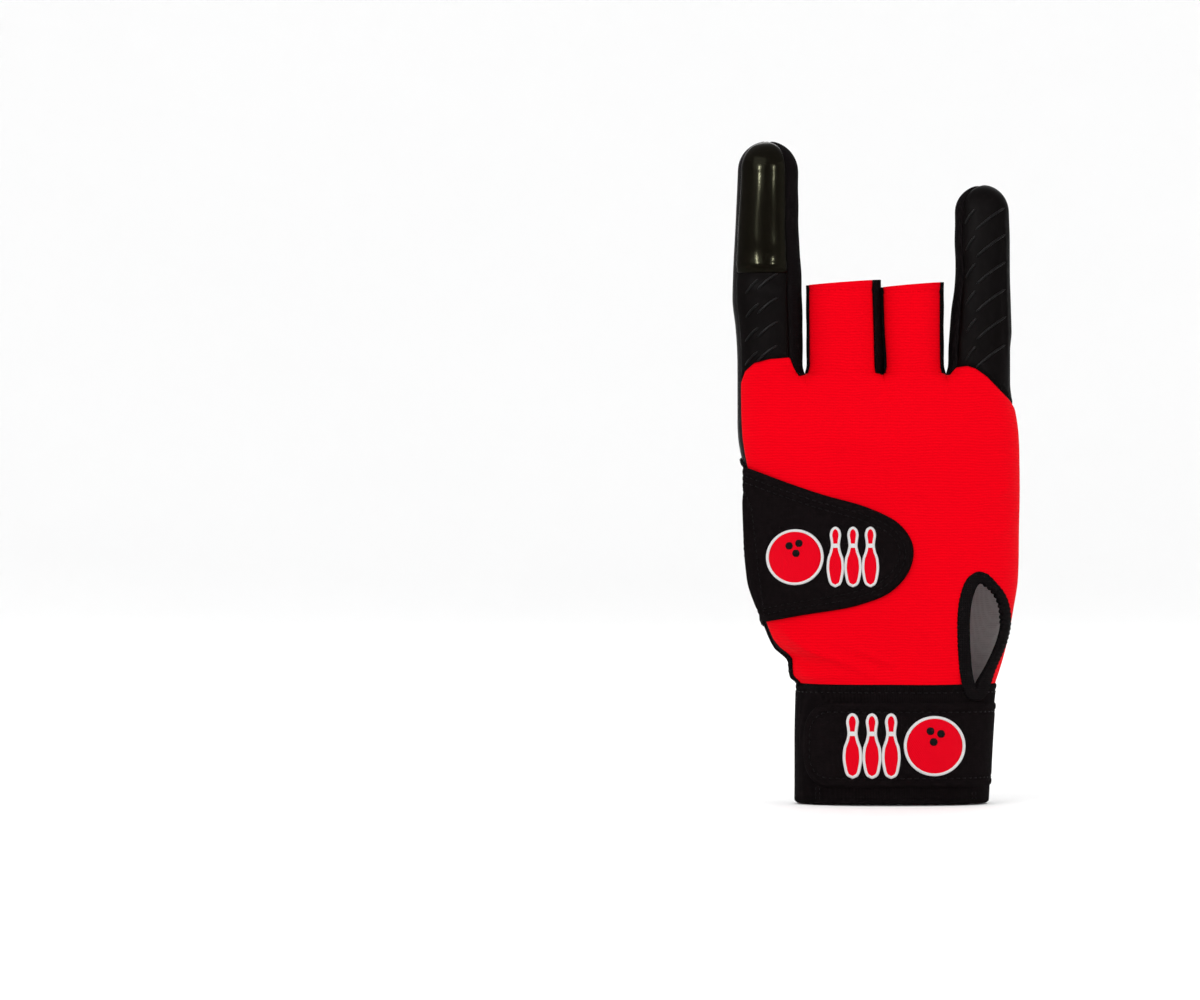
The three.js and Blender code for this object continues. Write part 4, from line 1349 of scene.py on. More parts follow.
    def palm_stitches(self) -> None:
        """Sews the row of stitches beside the palm's outer seam."""
        z = np.linspace(42.0, 132.0, 300)
        turn = np.full_like(z, self.form.outer_seam - 0.14)
        normals = self.form.normal(Finger.LITTLE, turn, z, Side.PALM)
        line = self.form.point(Finger.LITTLE, turn, z, Side.PALM)
        stitches = stitched(line - normals * 0.08, normals, 2.2, 1.6, 0.17)
        self.shop.piece("palm_seam_stitches", stitches, (Finish.THREAD,), "palm_leather")

    def index_wrap(self) -> Array:
        """Returns the narrow stretch of palm leather that wraps onto the index finger's thumb side."""
        turn = self.turns(Finger.INDEX, -QUARTER, self.form.thumb_seam)
        seam = self.form.fingers[Finger.INDEX].right_seam
        palm = self.finger_grid(Finger.INDEX, -QUARTER, seam, Side.PALM)
        return self.form.point(Finger.INDEX, turn[None, :], palm[:, :1, 2], Side.BACK)

    def creased(self, grid: Array) -> Array:
        """Returns shallow creases of the palm: three long bells across it and a slow unevenness."""
        x, z = grid[..., 0], grid[..., 2]
        heart = -0.8 * bell(z - (116.0 - 0.25 * x - 0.004 * (x - 20) ** 2), 1.5)
        head = -0.75 * bell(z - (101.0 + 0.32 * x - 0.006 * (x - 5) ** 2), 1.6)
        life = -0.8 * bell(x + 6.0 + 0.011 * (z - 62.0) ** 2, 1.7) * smoothstep(z, 44, 56)
        return heart + head + life + 0.15 * np.sin(x / 5.0) * np.sin(z / 8.0)

    def index_pieces(self) -> None:
        """Makes the index finger's grip cloth and its glossy cover, which laps over it."""
        form = self.form
        finger = form.fingers[Finger.INDEX]
        foot = form.tip(Finger.INDEX) - self.tip_cover
        grid = self.finger_grid(Finger.INDEX, finger.left_seam, finger.right_seam, Side.BACK, foot + 2.5)
        z = grid[..., 2]
        wrinkle = 0.16 * np.sin(z / 1.15 + grid[..., 0] * 0.35) * smoothstep(z, 158, 168)
        shell = Shell().add(grid, self.seams(grid, "lrb") + wrinkle)
        self.shop.piece("index_stall_cloth", shell.finished(), (Finish.GRIP, Finish.PALM_INSIDE),
                        "grip_cloth", ("index_stall",), self.wall)
        grid = self.finger_grid(Finger.INDEX, finger.left_seam, finger.right_seam, Side.BACK, foot=foot)
        lip = grid[..., 2] - foot
        above = form.tip(Finger.INDEX) - grid[..., 2]
        raised = self.tip_raise * np.sqrt(np.clip(1 - (1 - np.clip(lip / 1.3, 0, 1)) ** 2, 0, 1))
        raised = raised * smoothstep(above, 0.0, 2.0)
        x, z = grid[..., 0], grid[..., 2]
        pucker = 0.2 * bell(lip - 2.8, 0.9) + 0.12 * np.sin(z / 2.1 + x * 0.25) * bell(lip - 5.0, 4.0)
        slack = 0.14 * np.sin(z / 5.2 + 0.8) * np.sin(x / 3.6) * smoothstep(above, 3, 8)
        shell = Shell().add(grid, raised + pucker + slack + self.seams(grid, "lr") * 0.8)
        self.shop.piece("index_tip_cover", shell.finished(), (Finish.GLOSS, Finish.PALM_INSIDE),
                        "tip_gloss", ("index_tip",), self.wall + self.tip_raise)

    def little_piece(self) -> None:
        """Makes the little finger's grip cloth, round to its outer side."""
        form = self.form
        finger = form.fingers[Finger.LITTLE]
        grid = self.finger_grid(Finger.LITTLE, finger.left_seam, QUARTER, Side.BACK)
        x, z = grid[..., 0], grid[..., 2]
        lean = 0.02 * (z - 170)
        ridge = 0.2 * bell(x - 36.4 + lean, 0.5) - 0.2 * bell(x - 35.4 + lean, 0.6)
        ridge = ridge * smoothstep(-z, -190, -182)
        slack = 0.12 * np.sin(z / 3.1 + x * 0.4) * np.sin(x / 4.0)
        shell = Shell().add(grid, self.seams(grid, "lb") + ridge * smoothstep(z, 140, 150) + slack)
        outer = self.finger_grid(Finger.LITTLE, form.outer_seam, QUARTER, Side.PALM)
        shell.add(outer, self.seams(outer, "lb"), flip=True)
        self.shop.piece("little_stall_cloth", shell.finished(), (Finish.GRIP, Finish.PALM_INSIDE),
                        "grip_cloth", ("little_stall",), self.wall)

    def gussets(self) -> None:
        """Makes the three side gussets, each round the inner sides of two neighbouring fingers."""
        names = ("index_middle", "middle_ring", "ring_little")
        for strip, name in enumerate(names):
            shell = Shell()
            for side in (Side.BACK, Side.PALM):
                left = self.finger_grid(strip, self.form.fingers[strip].right_seam, QUARTER, side)
                right = self.finger_grid(strip + 1, -QUARTER, self.form.fingers[strip + 1].left_seam, side)
                for grid, edge in ((left, "l"), (right, "r")):
                    z = grid[..., 2]
                    ripple = 0.05 * np.sin(z / 1.9 + grid[..., 1] * 0.5) * smoothstep(z, 139, 143)
                    puff = self.gusset_puff[strip] * smoothstep(z, 137.6, 139.5)
                    shell.add(grid, self.seams(grid, edge) + ripple + puff, flip=side > 0)
            self.shop.piece(f"fourchette_{name}_cloth", shell.finished(),
                            (Finish.GUSSET, Finish.PALM_INSIDE), "gusset_cloth", (f"fourchette_{name}",),
                            self.wall)

    def build(self, keyhole: Outline, thumb_hole: Outline) -> None:
        """Makes every panel."""
        self.back(keyhole)
        self.palm(thumb_hole)
        self.palm_stitches()
        self.index_pieces()
        self.little_piece()
        self.gussets()
        self.hems()
        self.grips()


@dataclass
class WristBand:
    """The elastic band and the hook-and-loop strap that wraps round it."""

    form: HandForm
    shop: Workshop
    raised: float = 0.4
    rise: float = 0.5
    wall: float = 1.9
    strap_wall: float = 0.95
    clearance: float = 0.2
    strap_low: float = 5.4
    strap_height: float = 27.0
    strap_left: float = -28.0
    strap_root: float = -6.0
    end_radius: float = 10.0
    side_along: float = 66.0
    hem: float = 3.0
    length: float = 0.0

    @property
    def strap_middle(self) -> float:
        """Height of the strap's middle line."""
        return self.strap_low + self.strap_height / 2

    def band(self) -> None:
        """Makes the band: a loop whose offset rounds off at both edges and wavers a little."""
        height = self.form.band_height + self.rise
        angle = self.form.even_angles(-np.pi, np.pi, height / 2, 420)
        z = np.linspace(0.0, height, 70)
        grid_angle, grid_z = np.meshgrid(angle, z)
        edge = np.minimum(grid_z, height - grid_z)
        rounding = -0.75 * (1 - np.clip(edge / 0.9, 0, 1)) ** 2
        wave = 0.16 * np.sin(grid_angle * 9 + 0.7) * np.sin(grid_z / 7.0)
        stitch_line = -0.22 * bell(height - grid_z - 2.4, 0.45)
        offset = self.raised + rounding + wave * smoothstep(edge, 0, 4) + stitch_line
        shell = Shell().add(self.form.wrap(grid_angle, grid_z, offset))
        self.shop.piece("wrist_band_elastic", shell.finished(), (Finish.BAND, Finish.PALM_INSIDE),
                        "band_elastic", ("wrist_band",), self.wall)

    def band_stitches(self) -> None:
        """Sews the row of stitches under the band's upper edge and the short upright tacks near its foot."""
        form = self.form
        angle = np.linspace(-np.pi, np.pi, 700)
        z = np.full_like(angle, form.band_height - 2.4)
        parts = [sewn(form, angle, z, self.raised - 0.15, 2.1, 1.5, 0.17)]
        for x, low, high in ((-24.6, 0.8, 6.5), (-23.4, 0.8, 6.5), (24.6, 0.8, 5.2), (25.8, 0.8, 5.2)):
            z = np.linspace(low, high, 30)
            angle = form.wrap_angle(np.full_like(z, x), z)
            parts.append(sewn(form, angle, z, self.raised, 1.5, 1.15, 0.17))
        self.shop.piece("wrist_band_stitches", joined(parts), (Finish.THREAD,), "band_elastic")

    def strap_stitches(self) -> None:
        """Sews the row of stitches inside the strap's edge, round its rounded end."""
        inset, steps = self.hem, 500
        radius = self.end_radius - inset
        turn = np.linspace(QUARTER, 2 * QUARTER, 40)
        upper_along = self.end_radius + radius * np.cos(turn)
        upper_z = self.strap_height / 2 - self.end_radius + radius * np.sin(turn)
        far = np.linspace(self.length - inset, self.end_radius, steps)
        line_along = np.concatenate([far, upper_along[1:], upper_along[::-1], far[::-1]])
        straight = np.full(steps, self.strap_height / 2 - inset)
        line_up = np.concatenate([straight, upper_z[1:], -upper_z[::-1], -straight])
        angle, _, _ = self.strap_place(line_along, np.zeros_like(line_along))
        z = self.strap_middle + line_up
        offset = self.strap_offset(np.full_like(z, inset), line_along)
        stitches = sewn(self.form, angle, z, offset + 0.05, 2.3, 1.6, 0.17)
        self.shop.piece("wrist_strap_stitches", stitches, (Finish.THREAD,), "loop_cloth")

    def carrier(self, x: Array, z: Array) -> Array:
        """Returns the strap's height above the hand at places of the back."""
        angle = self.form.wrap_angle(x, z)
        start, end = self.strap_ends()
        along = (angle - start) / (end - start) * self.length
        return self.strap_offset(np.full_like(along, 9.0), along)

    def strap_ends(self) -> Pair:
        """Returns the angles of the strap's rounded end on the back and of its root on the palm."""
        middle = np.array(self.strap_middle)
        start = self.form.wrap_angle(np.array(self.strap_left), middle)
        end = self.form.wrap_angle(np.array(self.strap_root), middle, Side.PALM)
        return float(start), float(end)

    def strap_place(self, along: Array, across: Array) -> tuple[Array, Array, Array]:
        """Works out where a point of the strap lies.

        The half height grows from the rounded end as a quarter circle of the end's radius.

        Args:
            along: arc length from the rounded end.
            across: -1 at the lower edge to 1 at the upper.

        Returns:
            Angles round the wrist, heights and distances from the nearest edge.
        """
        middle = self.strap_middle
        table = np.linspace(*self.strap_ends(), 600)
        length = arc_length(self.form.wrap_base(table, np.full_like(table, middle)))
        self.length = length[-1]
        angle = np.interp(along, length, table)
        inset = np.clip(self.end_radius - along, 0, self.end_radius)
        half = self.strap_height / 2 - self.end_radius + np.sqrt(self.end_radius**2 - inset**2)
        z = middle + across * half
        corner = np.hypot(inset, np.maximum(np.abs(z - middle) - self.strap_height / 2 + self.end_radius, 0))
        in_corner = (inset > 0) & (np.abs(z - middle) > self.strap_height / 2 - self.end_radius)
        straight = np.minimum(self.strap_height / 2 - np.abs(z - middle), along)
        edge = np.where(in_corner, self.end_radius - corner, straight)
        return angle, z, np.minimum(edge, self.length - along)

    def strap_offset(self, edge: Array, along: Array) -> Array:
        """Returns the strap's height above the glove: a rounded edge, a sewn groove and a slack wave."""
        rounding = -0.8 * (1 - np.clip(edge / 1.0, 0, 1)) ** 2
        groove = -0.3 * bell(edge - self.hem, 0.5) + 0.1 * bell(edge - 1.7, 0.8)
        wave = 0.16 * np.sin(along / 6.5)
        pressed = -0.55 * bell(along - self.side_along, 15.0)
        return self.raised + self.clearance + self.strap_wall + rounding + groove + wave + pressed

    def strap(self) -> None:
        """Makes the strap: a surface by arc length and height, with its thickness below.

        Its rows stand closer at both edges, as the sine of almost a half turn.
        """
        self.strap_place(np.zeros(1), np.zeros(1))
        share, reach = np.linspace(0, 1, 300), 0.995
        ends = self.end_radius * (1 - np.cos(np.linspace(0, QUARTER, 18)))
        along = np.concatenate([ends, mix(self.end_radius, self.length, share)[1:]])
        across = np.sin(np.linspace(-QUARTER, QUARTER, 64) * reach) / np.sin(QUARTER * reach)
        grid_along, grid_across = np.meshgrid(along, across)
        angle, z, edge = self.strap_place(grid_along, grid_across)
        offset = self.strap_offset(edge, grid_along)
        shell = Shell().add(self.form.wrap(angle, z, offset))
        self.shop.piece("wrist_strap_loop", shell.finished(), (Finish.LOOP,), "loop_cloth",
                        ("wrist_strap",), self.strap_wall)

    def build(self) -> None:
        """Makes the band and the strap."""
        self.band()
        self.band_stitches()
        self.strap()
        self.strap_stitches()


@dataclass
class ThumbFlap:
    """The hook-and-loop flap that closes from the thumb side over the back."""

    form: HandForm
    shop: Workshop
    wall: float = 1.4
    cloth: float = 1.0
    clearance: float = 0.3
    spacing: float = 0.55
    stitch_lines: Pair = (2.6, 4.5)
    inside: float = 9.0
    low: float = 54.0
    high: float = 112.0
    rim: float = 1.3
    tucked: float = 0.95

    def seam_x(self, z: Array) -> Array:
        """Returns the x of the sewn seam beside the thumb side, at a height."""
        return np.interp(z, *FLAP_SEAM)

    def offset(self, depth: Array, x: Array, z: Array) -> Array:
        """Returns the flap's height above the hand: rounded edges, two sewn grooves and the side seam."""
        rounding = -0.95 * (1 - np.clip(depth / 1.1, 0, 1)) ** 2
        grooves = sum(-0.2 * bell(depth - line, 0.42) for line in self.stitch_lines)
        seam = -0.4 * bell(x - self.seam_x(z), 0.6)
        wave = 0.18 * np.sin(x / 8.0 + 1.0) * np.sin(z / 7.5)
        return self.clearance + self.wall + rounding + grooves + seam + wave

    def build(self) -> None:
        """Makes the flap: a grid round the hand, cut to the outline, its cut corners moved onto it."""
        nose_x, nose_z, across = 7.0, 80.0, 70.0
        outline = Outline(smooth_loop(FLAP_OUTLINE, 420, closed=False))
        start = -np.pi + 0.16
        stop = float(self.form.wrap_angle(np.array(nose_x), np.array(nose_z)))
        angle = self.form.even_angles(start, stop, nose_z, int(across / self.spacing))
        z = np.linspace(self.low, self.high, int((self.high - self.low) / self.spacing))
        grid_angle, grid_z = np.meshgrid(angle, z)
        base = self.form.wrap_base(grid_angle, grid_z)
        depth, foot = outline.nearest(base[..., ::2].reshape(-1, 2))
        inside = (depth > 0.12).reshape(grid_z.shape)
        faces = grid_faces(*grid_z.shape)
        faces = faces[inside.reshape(-1)[faces].all(axis=1)]
        used, inverse = np.unique(faces, return_inverse=True)
        faces = inverse.reshape(-1, 4)
        count = np.bincount(faces.ravel(), minlength=len(used))
        rim = (count < 4) & (depth[used] < self.rim)
        place = base.reshape(-1, 3)[used][:, ::2]
        place = np.where(rim[:, None], foot[used], place)
        moved = np.maximum(self.form.wrap_angle(place[:, 0], place[:, 1]), start)
        around = np.where(rim, moved, grid_angle.reshape(-1)[used])
        edge = np.where(rim, 0.0, depth[used])
        offset = self.offset(edge, place[:, 0], place[:, 1])
        offset = offset - self.tucked * (1 - smoothstep(around, start, start + 0.1))
        points = self.form.wrap(around, place[:, 1], offset)
        self.shop.piece("thumb_flap_loop", (points, faces), (Finish.LOOP,), "loop_cloth", ("thumb_flap",),
                        self.cloth)
        self.stitches(outline)

    def stitches(self, outline: Outline) -> None:
        """Sews the two rows of stitches inside the flap's edge and the row along its side seam."""
        parts = []
        out = outline.normals()
        for inset in self.stitch_lines:
            place = outline.points - out * inset
            edge = self.form.palm_table.at(place[:, 1])[0] + 1.2
            place = place[place[:, 0] > np.maximum(self.seam_x(place[:, 1]) + 0.8, edge)]
            parts.append(self.row(place[:, 0], place[:, 1], inset, 2.2, 1.55))
        z = np.linspace(59.5, 105.0, 200)
        z = z[self.seam_x(z) > self.form.palm_table.at(z)[0] + 0.6]
        parts.append(self.row(self.seam_x(z) + 0.9, z, self.inside, 1.9, 1.2))
        self.shop.piece("thumb_flap_stitches", joined(parts), (Finish.THREAD,), "loop_cloth")

    def row(self, x: Array, z: Array, depth: float, pitch: float, length: float) -> Made:
        """Returns one row of stitches along places at a depth inside the outline."""
        angle = self.form.wrap_angle(x, z)
        offset = self.offset(np.full_like(x, depth), x, z)
        return sewn(self.form, angle, z, offset + 0.04, pitch, length, 0.16)

    def carrier(self, x: Array, z: Array) -> Array:
        """Returns the flap's height above the hand at places away from its edge."""
        return self.offset(np.full_like(x, self.inside), x, z)


@dataclass
class Embroidery:
    """A satin-stitched picture of a ball and three pins, red with white outlines, on a flap or a strap.

    Args:
        form: the hand's surface.
        shop: makes the pieces.
        carrier: gives the height of the cloth that it is sewn on, above the hand.
        centre: the picture's middle in the (x, z) plane.
        scale: size, where 1 is 34 mm wide.
        flip: 1, or -1 to set the ball on the other side.
        ball: the ball's middle and radius.
        pins: x of the three pins.
        pin_girth: half width of a pin's belly.
        border: half width of the white borders.
        satin: thickness of the satin fills.
    """

    form: HandForm
    shop: Workshop
    carrier: Callable[[Array, Array], Array]
    centre: Pair
    scale: float = 1.0
    flip: int = 1
    ball: Triple = (-8.6, 0.0, 8.4)
    holes: tuple[Pair, ...] = ((-10.4, 3.6), (-7.4, 4.4), (-8.3, 1.2))
    pins: tuple[float, ...] = (3.9, 9.4, 14.9)
    pin_height: float = 18.4
    pin_girth: float = 2.3
    raised: float = 0.5
    border: float = 0.48
    satin: float = 0.3

    def pin_half(self, share: Array) -> Array:
        """Returns a pin's half width at a share of its height: belly, neck, head and a rounded top."""
        return SmoothTable(PIN_HEIGHTS, [(half,) for half in PIN_HALVES]).at(share)[0] * self.pin_girth

    def put(self, x: Array, z: Array, lift: Array) -> Array:
        """Returns points on the cloth at places of the picture, raised by a lift."""
        place_x = self.centre[0] + self.flip * self.scale * x
        place_z = self.centre[1] + self.scale * z
        angle = self.form.wrap_angle(place_x, place_z)
        return self.form.wrap(angle, place_z, self.carrier(place_x, place_z) + lift)

    def filled(self, x: float, z: Array, half: Array) -> Made:
        """Returns a filled shape, rows across it by height, domed as the fourth root of 1 - v^4."""
        across = np.linspace(-1, 1, 15)
        dome = (1 - (across * 0.98) ** 4) ** 0.25 * self.raised
        grid_x = x + half[:, None] * across
        lift = np.broadcast_to(dome, grid_x.shape) * np.clip(half[:, None] / 0.5, 0.1, 1)
        points = self.put(grid_x, np.broadcast_to(z[:, None], grid_x.shape), lift - 0.1)
        faces = grid_faces(*grid_x.shape)
        return points.reshape(-1, 3), faces[:, ::self.flip]

    def edged(self, outline: Array) -> Made:
        """Returns a raised border round an outline: an ellipse carried along it."""
        out = Outline(outline).normals()
        angle = np.arange(9) * 2 * np.pi / 8
        across, up = np.cos(angle) * self.border, np.sin(angle) * (self.raised + 0.12)
        x = outline[:, None, 0] + out[:, None, 0] * across
        z = outline[:, None, 1] + out[:, None, 1] * across
        points = self.put(x, z, np.broadcast_to(up, x.shape))
        points = np.concatenate([points, points[:1]])
        points, faces = Shell().add(points, flip=self.flip < 0).finished()
        return points, np.array(faces)

    def pin_outline(self, x: float) -> Array:
        """Returns a pin's outline, anticlockwise."""
        share = (1 - np.cos(np.linspace(0, np.pi, 60))) / 2
        half, z = self.pin_half(share), (share - 0.5) * self.pin_height
        right = np.stack([x + half, z], axis=-1)
        left = np.stack([x - half, z], axis=-1)[::-1]
        return smooth_loop(np.concatenate([right[:-1], left[:-1]]), 150)

    def ball_outline(self) -> Array:
        """Returns the ball's outline, anticlockwise."""
        x, z, radius = self.ball
        angle = np.linspace(0, 2 * np.pi, 120, endpoint=False)
        return np.stack([x + radius * np.cos(angle), z + radius * np.sin(angle)], axis=-1)

    def build(self, name: str) -> None:
        """Makes the red fill, the white borders and the ball's three holes."""
        x, z, radius = self.ball
        turn = np.linspace(-QUARTER, QUARTER, 46)
        red = [self.filled(x, z + radius * np.sin(turn), radius * np.cos(turn))]
        share = (1 - np.cos(np.linspace(0, np.pi, 50))) / 2
        for pin in self.pins:
            red.append(self.filled(pin, (share - 0.5) * self.pin_height, self.pin_half(share)))
        white = [self.edged(self.ball_outline())]
        white += [self.edged(self.pin_outline(pin)) for pin in self.pins]
        white += [self.collar(pin) for pin in self.pins]
        small = np.sin(np.linspace(-QUARTER, QUARTER, 12))
        points, faces = joined([self.filled(x, z + small, np.cos(np.arcsin(small))) for x, z in self.holes])
        dark = (points + vertex_normals(points, faces) * 0.28, faces)
        layers = (("red", joined(red), Finish.RED_SATIN, self.satin),
                  ("white", joined(white), Finish.WHITE_SATIN, 0.0),
                  ("holes", dark, Finish.THREAD, self.satin))
        for layer, shape, finish, wall in layers:
            self.shop.piece(f"{name}_badge_{layer}", shape, (finish,), "loop_cloth", wall=wall)

    def collar(self, pin: float) -> Made:
        """Returns the white band round a pin's neck, rows across it."""
        share = np.linspace(0.66, 0.73, 5)
        points, faces = self.filled(pin, (share - 0.5) * self.pin_height, self.pin_half(share))
        return points + vertex_normals(points, faces) * 0.12, faces


@dataclass
class Bindings:
    """The tapes that bind the keyhole and the thumb hole, and the piping of the thumb side."""

    form: HandForm
    shop: Workshop
    width: float = 2.9
    top_loss: float = 1.0
    keyhole_foot: Pair = (23.8, 36.9)
    keyhole_size: Pair = (11.6, 33.8)
    thumb_centre: Pair = (-49.7, 84.0)
    thumb_reach: Pair = (24.0, 24.5)
    thumb_back: float = 3.0

    def keyhole(self) -> Outline:
        """Returns the teardrop opening's outline."""
        table = np.array(KEYHOLE_TABLE) * self.keyhole_size + self.keyhole_foot
        return Outline(smooth_loop(table, 420))

    def thumb_hole(self) -> Outline:
        """Returns the thumb hole's outline, an ellipse about the thumb side."""
        angle = np.linspace(0, 2 * np.pi, 200, endpoint=False)
        return Outline(
            np.stack([np.cos(angle), np.sin(angle)], axis=-1) * self.thumb_reach + self.thumb_centre
        )

    def tape(self, name: str, place: Array, out: Array, lift: Array, width: Array,
             angle_at: Callable[[Array, Array], Array], flip: bool, replaces: str) -> None:
        """Sweeps a tape round a loop on the hand.

        Args:
            name: the piece's name.
            place: places of shape (stations, 2), as a way round the hand and a height.
            out: unit vectors in that plane, away from the opening.
            lift: extra height of the outer leaf, station by station.
            width: the leaf's width, station by station.
            angle_at: gives the angle round the section at a place.
            flip: whether the way round the hand runs against the angle.
            replaces: the CAD node that it stands for.
        """
        across, height = np.array(TAPE_SECTION).T
        across = across * width[:, None]
        height = np.where(height > -0.05, height + lift[:, None], height)
        target = place[:, None, :] + across[..., None] * out[:, None, :]
        angle = angle_at(target[..., 0], target[..., 1])
        points = self.form.wrap(angle, target[..., 1], height)
        points = np.concatenate([points, points[:1]])
        shell = Shell().add(np.concatenate([points, points[:, :1]], axis=1), flip=flip)
        self.shop.piece(name, shell.finished(), (Finish.TAPE,), "binding_tape", (replaces,))

    def build(self) -> None:
        """Makes both tapes and the piping."""
        self.keyhole_tape()
        self.thumb_tape()
        self.side_piping()

    def keyhole_tape(self) -> None:
        """Binds the keyhole with a tape that is narrower and gathered on its outer side.

        Its inner edge is scalloped there, as half waves of a sine, where the stitches pull.
        """
        outline = self.keyhole()
        out = outline.normals()
        run = outline.run()
        x, z = outline.points.T
        right = smoothstep(x, 25.5, 32.0)
        gather = 0.07 * np.sin(run * 2 * np.pi / 1.4)
        foot = smoothstep(-z, -44.0, -38.0)
        lift = gather * (0.4 + 0.6 * right) + 0.6 * foot
        tooth = -0.5 * np.abs(np.sin(run * np.pi / 1.8)) * smoothstep(z, 56.0, 59.0)
        tooth = tooth * smoothstep(x, 28.0, 29.5)
        width = mix(3.75, 2.35, right) + gather * 0.6 - tooth
        place = outline.points + out * tooth[:, None]
        self.tape("keyhole_binding_tape", place, out, lift, width, self.form.wrap_angle, False,
                  "keyhole_binding")

    def thumb_tape(self) -> None:
        """Binds the thumb hole with a gathered tape and sews it.

        Places are the arc length from the thumb side's outline, towards the palm, and the height. The loop
        follows the hole's ellipse on the palm and closes along the foot of the thumb flap.
        """
        form, middle = self.form, self.thumb_centre[1]
        table = np.linspace(np.pi - 1.5, np.pi + 1.0, 3000)
        line = form.wrap_base(table, np.full_like(table, middle))
        run = arc_length(line)
        run = np.interp(np.pi, table, run) - run
        back = np.interp(self.thumb_back, -line[:, 1][table > np.pi], run[table > np.pi])
        turn = np.radians(np.arange(-75, 76, 15))
        x = self.thumb_centre[0] + self.thumb_reach[0] * np.cos(turn)
        reach = np.interp(x, line[::-1, 0][table[::-1] < np.pi], run[::-1][table[::-1] < np.pi])
        z = middle + self.thumb_reach[1] * np.sin(turn)
        rise = self.thumb_reach[1] * np.array([0.99, 0.72, 0.0, -0.72, -0.99])
        inner = np.stack([back * np.array([0.55, 0.95, 1.0, 0.95, 0.55]), middle + rise], axis=-1)
        loop = Outline(smooth_loop(np.concatenate([np.stack([reach, z], axis=-1), inner]), 460))
        out = loop.normals()
        around = loop.run()
        gather = 0.10 * np.sin(around * 2 * np.pi / 2.1) + 0.04 * np.sin(around * 2.3)
        order = np.argsort(run)

        def angle_at(way: Array, height: Array) -> Array:
            """Returns the angle at an arc length from the thumb side's outline."""
            return np.interp(way, run[order], table[order])

        top = smoothstep(loop.points[:, 1], middle + self.thumb_reach[1] * 0.5, middle + self.thumb_reach[1])
        width = self.width - self.top_loss * top
        self.tape("thumb_binding_tape", loop.points, out, gather, width, angle_at, True, "thumb_binding")
        way, z = (loop.points + out * (width * 0.72)[:, None]).T
        stitches = sewn(form, angle_at(way, z), z, 0.52, 2.2, 1.5, 0.16)
        self.shop.piece("thumb_binding_stitches", stitches, (Finish.THREAD,), "binding_tape")

    def side_piping(self) -> None:
        """Makes the gathered piping down the thumb side from the flap's foot onto the band.

        It is a rod along the side's outline, thin above and puffed below, and its girth wavers as a sine.
        """
        z = np.linspace(60.0, 37.2, 160)
        low = smoothstep(-z, -48.5, -45.5)
        girth = mix(0.5, 1.1, low) * (1 + 0.09 * np.sin(z * 2 * np.pi / 1.9) * low)
        left = self.form.palm_table.at(z)[0]
        angle = self.form.wrap_angle(left + mix(0.35, 0.75, low), z)
        normals = self.form.wrap_normal(angle, z)
        end = smoothstep(-z, -40.0, -37.6)
        paths = self.form.wrap(angle, z, 0.1 + 0.5 * end)
        girth = girth[:, None, None]
        piping = rods(paths[None], normals[None], girth, girth * 0.75, 14)
        self.shop.piece("side_piping_tape", piping, (Finish.TAPE,), "binding_tape")


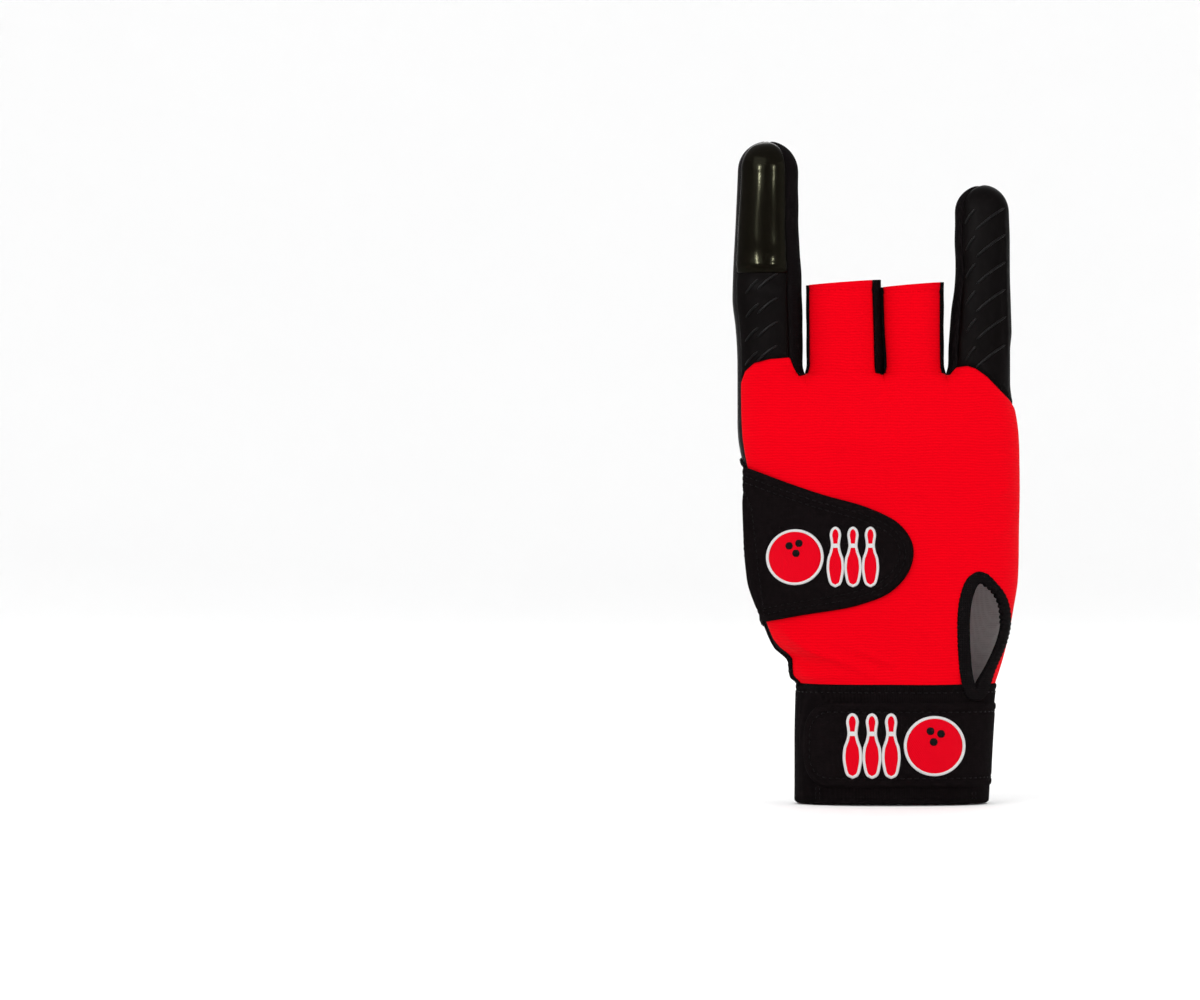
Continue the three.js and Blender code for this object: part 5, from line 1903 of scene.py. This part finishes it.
@dataclass
class Studio:
    """The camera, the pale floor and the lights, in metres."""

    eye: Triple = (-0.0938, -2.007, 0.097)
    lens: float = 187.5
    sensor_width: float = 36.0
    aim: Triple = (0.0, 0.0, 0.11)
    floor_radius: float = 4.2
    floor_bend: float = 1.5
    floor_rise: float = 3.2
    floor_drop: float = 0.0004
    glow: float = 1.05

    def camera(self) -> None:
        """Makes the camera, level and square to the hand, with no shift."""
        data = bpy.data.cameras.new("camera")
        data.lens = self.lens
        data.sensor_width = self.sensor_width
        data.clip_end = 60.0
        made = placed("camera", data)
        made.location = self.eye
        made.rotation_euler = (QUARTER, 0.0, 0.0)
        bpy.context.scene.camera = made

    def floor(self) -> None:
        """Makes the floor: a flat disc that curves up all round, as one surface of revolution."""
        turn = np.linspace(0, QUARTER, 16)[1:]
        bend, reach = self.floor_bend, self.floor_radius - self.floor_bend
        flat = np.linspace(0, reach, 12)
        radius = np.concatenate([flat, reach + bend * np.sin(turn), [self.floor_radius]])
        height = np.concatenate([np.zeros_like(flat), bend * (1 - np.cos(turn)), [self.floor_rise]])
        angle = np.linspace(0, 2 * np.pi, 97)
        grid = np.stack(
            [radius[:, None] * np.cos(angle), radius[:, None] * np.sin(angle),
             np.broadcast_to(height[:, None], (len(radius), len(angle)))], axis=-1,
        )
        points, faces = Shell().add(grid * PER_METRE, flip=True).finished()
        mesh = smooth_mesh("studio_floor", points * MM - (0, 0, self.floor_drop), faces)
        paint = Paint("studio_paper")
        tone = paint.blend(paint.noise(3.0, 2), (0.92, 0.92, 0.92), (0.94, 0.94, 0.94))
        mesh.materials.append(paint.finish(Base_Color=tone, Roughness=0.9))
        made = placed("studio_floor", mesh)

    def lamp(self, name: str, size: Pair, place: Triple, power: float,
             only_gloss: bool = False) -> None:
        """Makes one rectangular lamp that looks at the glove's middle.

        Args:
            name: its name.
            size: width and height in metres.
            place: its centre in metres.
            power: its power in watts.
            only_gloss: whether it shows in reflections alone and leaves matte surfaces as they are.
        """
        data = bpy.data.lights.new(name, "AREA")
        data.shape = "RECTANGLE"
        data.size, data.size_y = size
        data.energy = power
        made = placed(name, data)
        made.location = place
        made.visible_diffuse = not only_gloss
        made.rotation_euler = (Vector(self.aim) - Vector(place)).to_track_quat("-Z", "Y").to_euler()

    def world(self) -> None:
        """Fills in an even pale light from all round."""
        world = bpy.data.worlds.new("world")
        bpy.context.scene.world = world
        world.use_nodes = True
        back = world.node_tree.nodes["Background"]
        back.inputs["Color"].default_value = (1.0, 1.0, 1.0, 1.0)
        back.inputs["Strength"].default_value = self.glow
        bpy.context.scene.view_settings.view_transform = "Standard"

    def build(self) -> None:
        """Makes the whole studio."""
        self.camera()
        self.floor()
        self.lamp("key", (1.4, 1.4), (-1.0, -1.7, 1.6), 17.0)
        self.lamp("fill", (1.6, 1.6), (1.7, -1.2, 0.9), 5.5)
        self.lamp("strip_left", (0.085, 0.18), (-0.62, -1.15, 0.765), 12.0, True)
        self.lamp("strip_right", (0.05, 0.22), (0.33, -1.15, 0.75), 6.0, True)
        self.lamp("rear", (1.6, 1.2), (0.2, 1.9, 1.5), 12.0)
        self.world()


def main() -> None:
    """Builds the glove round its frame, piece by piece."""
    logging.basicConfig(level=logging.INFO, format="%(message)s")
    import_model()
    form = HandForm()
    shop = Workshop()
    Studio().build()
    bindings = Bindings(form, shop)
    Panels(form, shop).build(bindings.keyhole(), bindings.thumb_hole())
    wrist = WristBand(form, shop)
    wrist.build()
    flap = ThumbFlap(form, shop)
    flap.build()
    bindings.build()
    Embroidery(form, shop, flap.carrier, (-22.6, 78.8)).build("thumb_flap")
    Embroidery(form, shop, wrist.carrier, (3.0, 18.7), 1.08, -1).build("wrist_strap")


if __name__ == "__main__":
    main()
